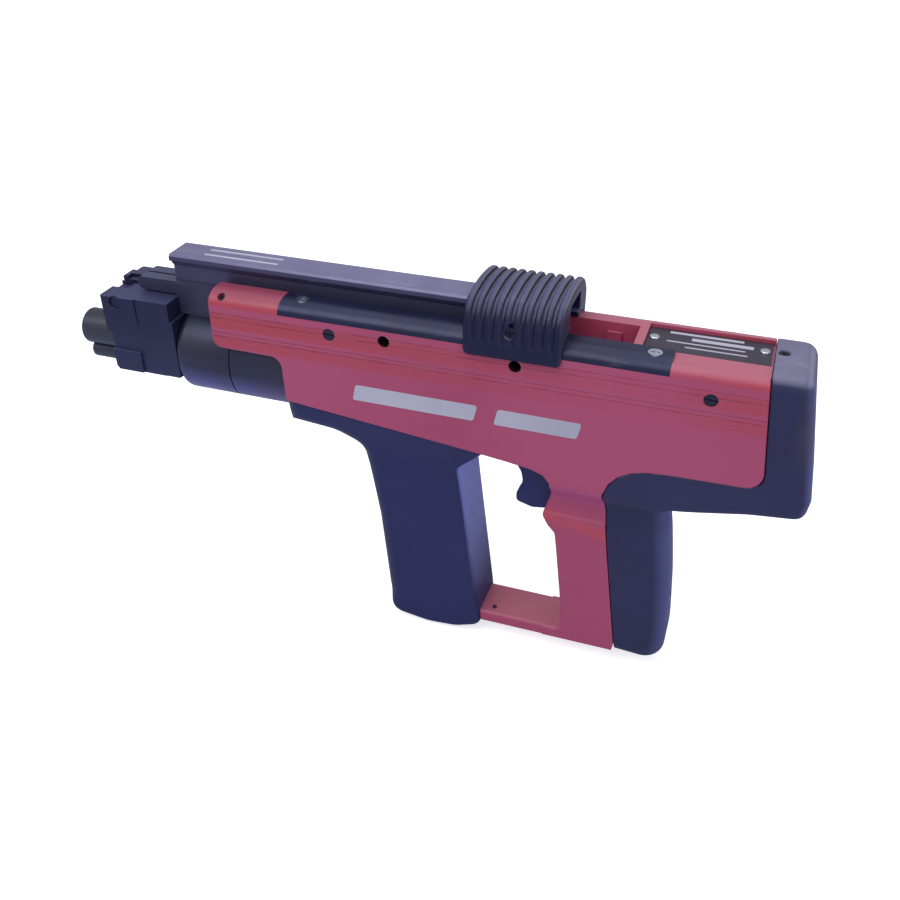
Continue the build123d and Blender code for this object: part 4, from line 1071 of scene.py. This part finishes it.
# -------------------------------------------------------------- stage, camera
FLOOR_Z = CAD_BOX[0][2] - 0.0005
fm = bpy.data.materials.new("studio_floor")
fm.use_nodes = True
fnt = fm.node_tree
fnt.nodes.clear()
fnb = NB(fnt)
f_out = fnt.nodes.new("ShaderNodeOutputMaterial")
f_cam = fnt.nodes.new("ShaderNodeAddShader")
f_white = fnt.nodes.new("ShaderNodeBsdfDiffuse")
fnb.link(fnb.mix(fnb.rng(fnb.noise(3.0, 2), 0.4, 0.6, 0, 1), (0.90, 0.90, 0.91), (0.93, 0.93, 0.935)),
         f_white.inputs["Color"])
f_glow = fnt.nodes.new("ShaderNodeEmission")
f_glow.inputs["Color"].default_value = (0.985, 0.985, 1.0, 1)
f_glow.inputs["Strength"].default_value = 0.66
fnb.link(f_white.outputs[0], f_cam.inputs[0])
fnb.link(f_glow.outputs[0], f_cam.inputs[1])
f_dim = fnt.nodes.new("ShaderNodeBsdfDiffuse")
f_dim.inputs["Color"].default_value = (0.50, 0.52, 0.66, 1)
f_path = fnt.nodes.new("ShaderNodeLightPath")
f_mix = fnt.nodes.new("ShaderNodeMixShader")
fnb.link(f_path.outputs["Is Camera Ray"], f_mix.inputs[0])
fnb.link(f_dim.outputs[0], f_mix.inputs[1])
fnb.link(f_cam.outputs[0], f_mix.inputs[2])
fnb.link(f_mix.outputs[0], f_out.inputs[0])
floor = mesh_obj("studio_floor", [(-9, -9, FLOOR_Z), (9, -9, FLOOR_Z), (9, 9, FLOOR_Z), (-9, 9, FLOOR_Z)],
                 [(0, 1, 2, 3)], fm, False)
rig.stage(floor)

world = bpy.data.worlds.new("studio")
SC.world = world
world.use_nodes = True
bg = world.node_tree.nodes["Background"]
bg.inputs["Color"].default_value = (0.93, 0.94, 1.0, 1)
bg.inputs["Strength"].default_value = 0.46
w_seen = world.node_tree.nodes.new("ShaderNodeBackground")
w_seen.inputs["Color"].default_value = (0.985, 0.985, 1.0, 1)
w_seen.inputs["Strength"].default_value = 1.0
w_path = world.node_tree.nodes.new("ShaderNodeLightPath")
w_mix = world.node_tree.nodes.new("ShaderNodeMixShader")
w_out = [n for n in world.node_tree.nodes if n.type == "OUTPUT_WORLD"][0]
world.node_tree.links.new(w_path.outputs["Is Camera Ray"], w_mix.inputs[0])
world.node_tree.links.new(bg.outputs[0], w_mix.inputs[1])
world.node_tree.links.new(w_seen.outputs[0], w_mix.inputs[2])
world.node_tree.links.new(w_mix.outputs[0], w_out.inputs[0])


def area(name, loc, target, size, power, color=(1, 1, 1), size_y=None):
    d = bpy.data.lights.new(name, "AREA")
    d.energy = power
    d.color = color
    d.shape = "RECTANGLE"
    d.size = size
    d.size_y = size_y or size
    o = bpy.data.objects.new(name, d)
    SC.collection.objects.link(o)
    o.location = loc
    o.rotation_euler = (Vector(target) - Vector(loc)).to_track_quat("-Z", "Y").to_euler()
    return o


MID = Vector([(CAD_BOX[0][i] + CAD_BOX[1][i]) / 2 for i in range(3)])
area("key", (MID.x - 0.5, MID.y - 0.9, 1.5), MID, 1.2, 13, (1.0, 0.985, 0.97))
area("fill", (MID.x + 1.4, MID.y - 1.1, 0.7), MID, 1.4, 5.5, (0.94, 0.95, 1.0))
area("top", (MID.x, MID.y + 0.35, 1.6), MID, 1.6, 9, (0.96, 0.96, 1.0))

cam_d = bpy.data.cameras.new("view")
cam = bpy.data.objects.new("view", cam_d)
SC.collection.objects.link(cam)
AZ, EL = math.radians(18.9), math.radians(33.3)
back = Vector((math.sin(AZ) * math.cos(EL), -math.cos(AZ) * math.cos(EL), math.sin(EL)))
right = Vector((math.cos(AZ), math.sin(AZ), 0.0))
upv = back.cross(right)
rot = Matrix((right, upv, back)).transposed()
cam.matrix_world = Matrix.Translation((0.4267, -0.499, 0.2991)) @ rot.to_4x4()
cam_d.sensor_width = 36.0
cam_d.lens = 997.0 / 900.0 * 36.0
cam_d.clip_start = 0.01
cam_d.clip_end = 50
SC.camera = cam
SC.view_settings.view_transform = "Standard"
SC.view_settings.look = "None"
SC.view_settings.exposure = 0.0

json.dump({"cad": CAD_BOX, "visual": plain(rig.bounds())}, open("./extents.json", "w"))
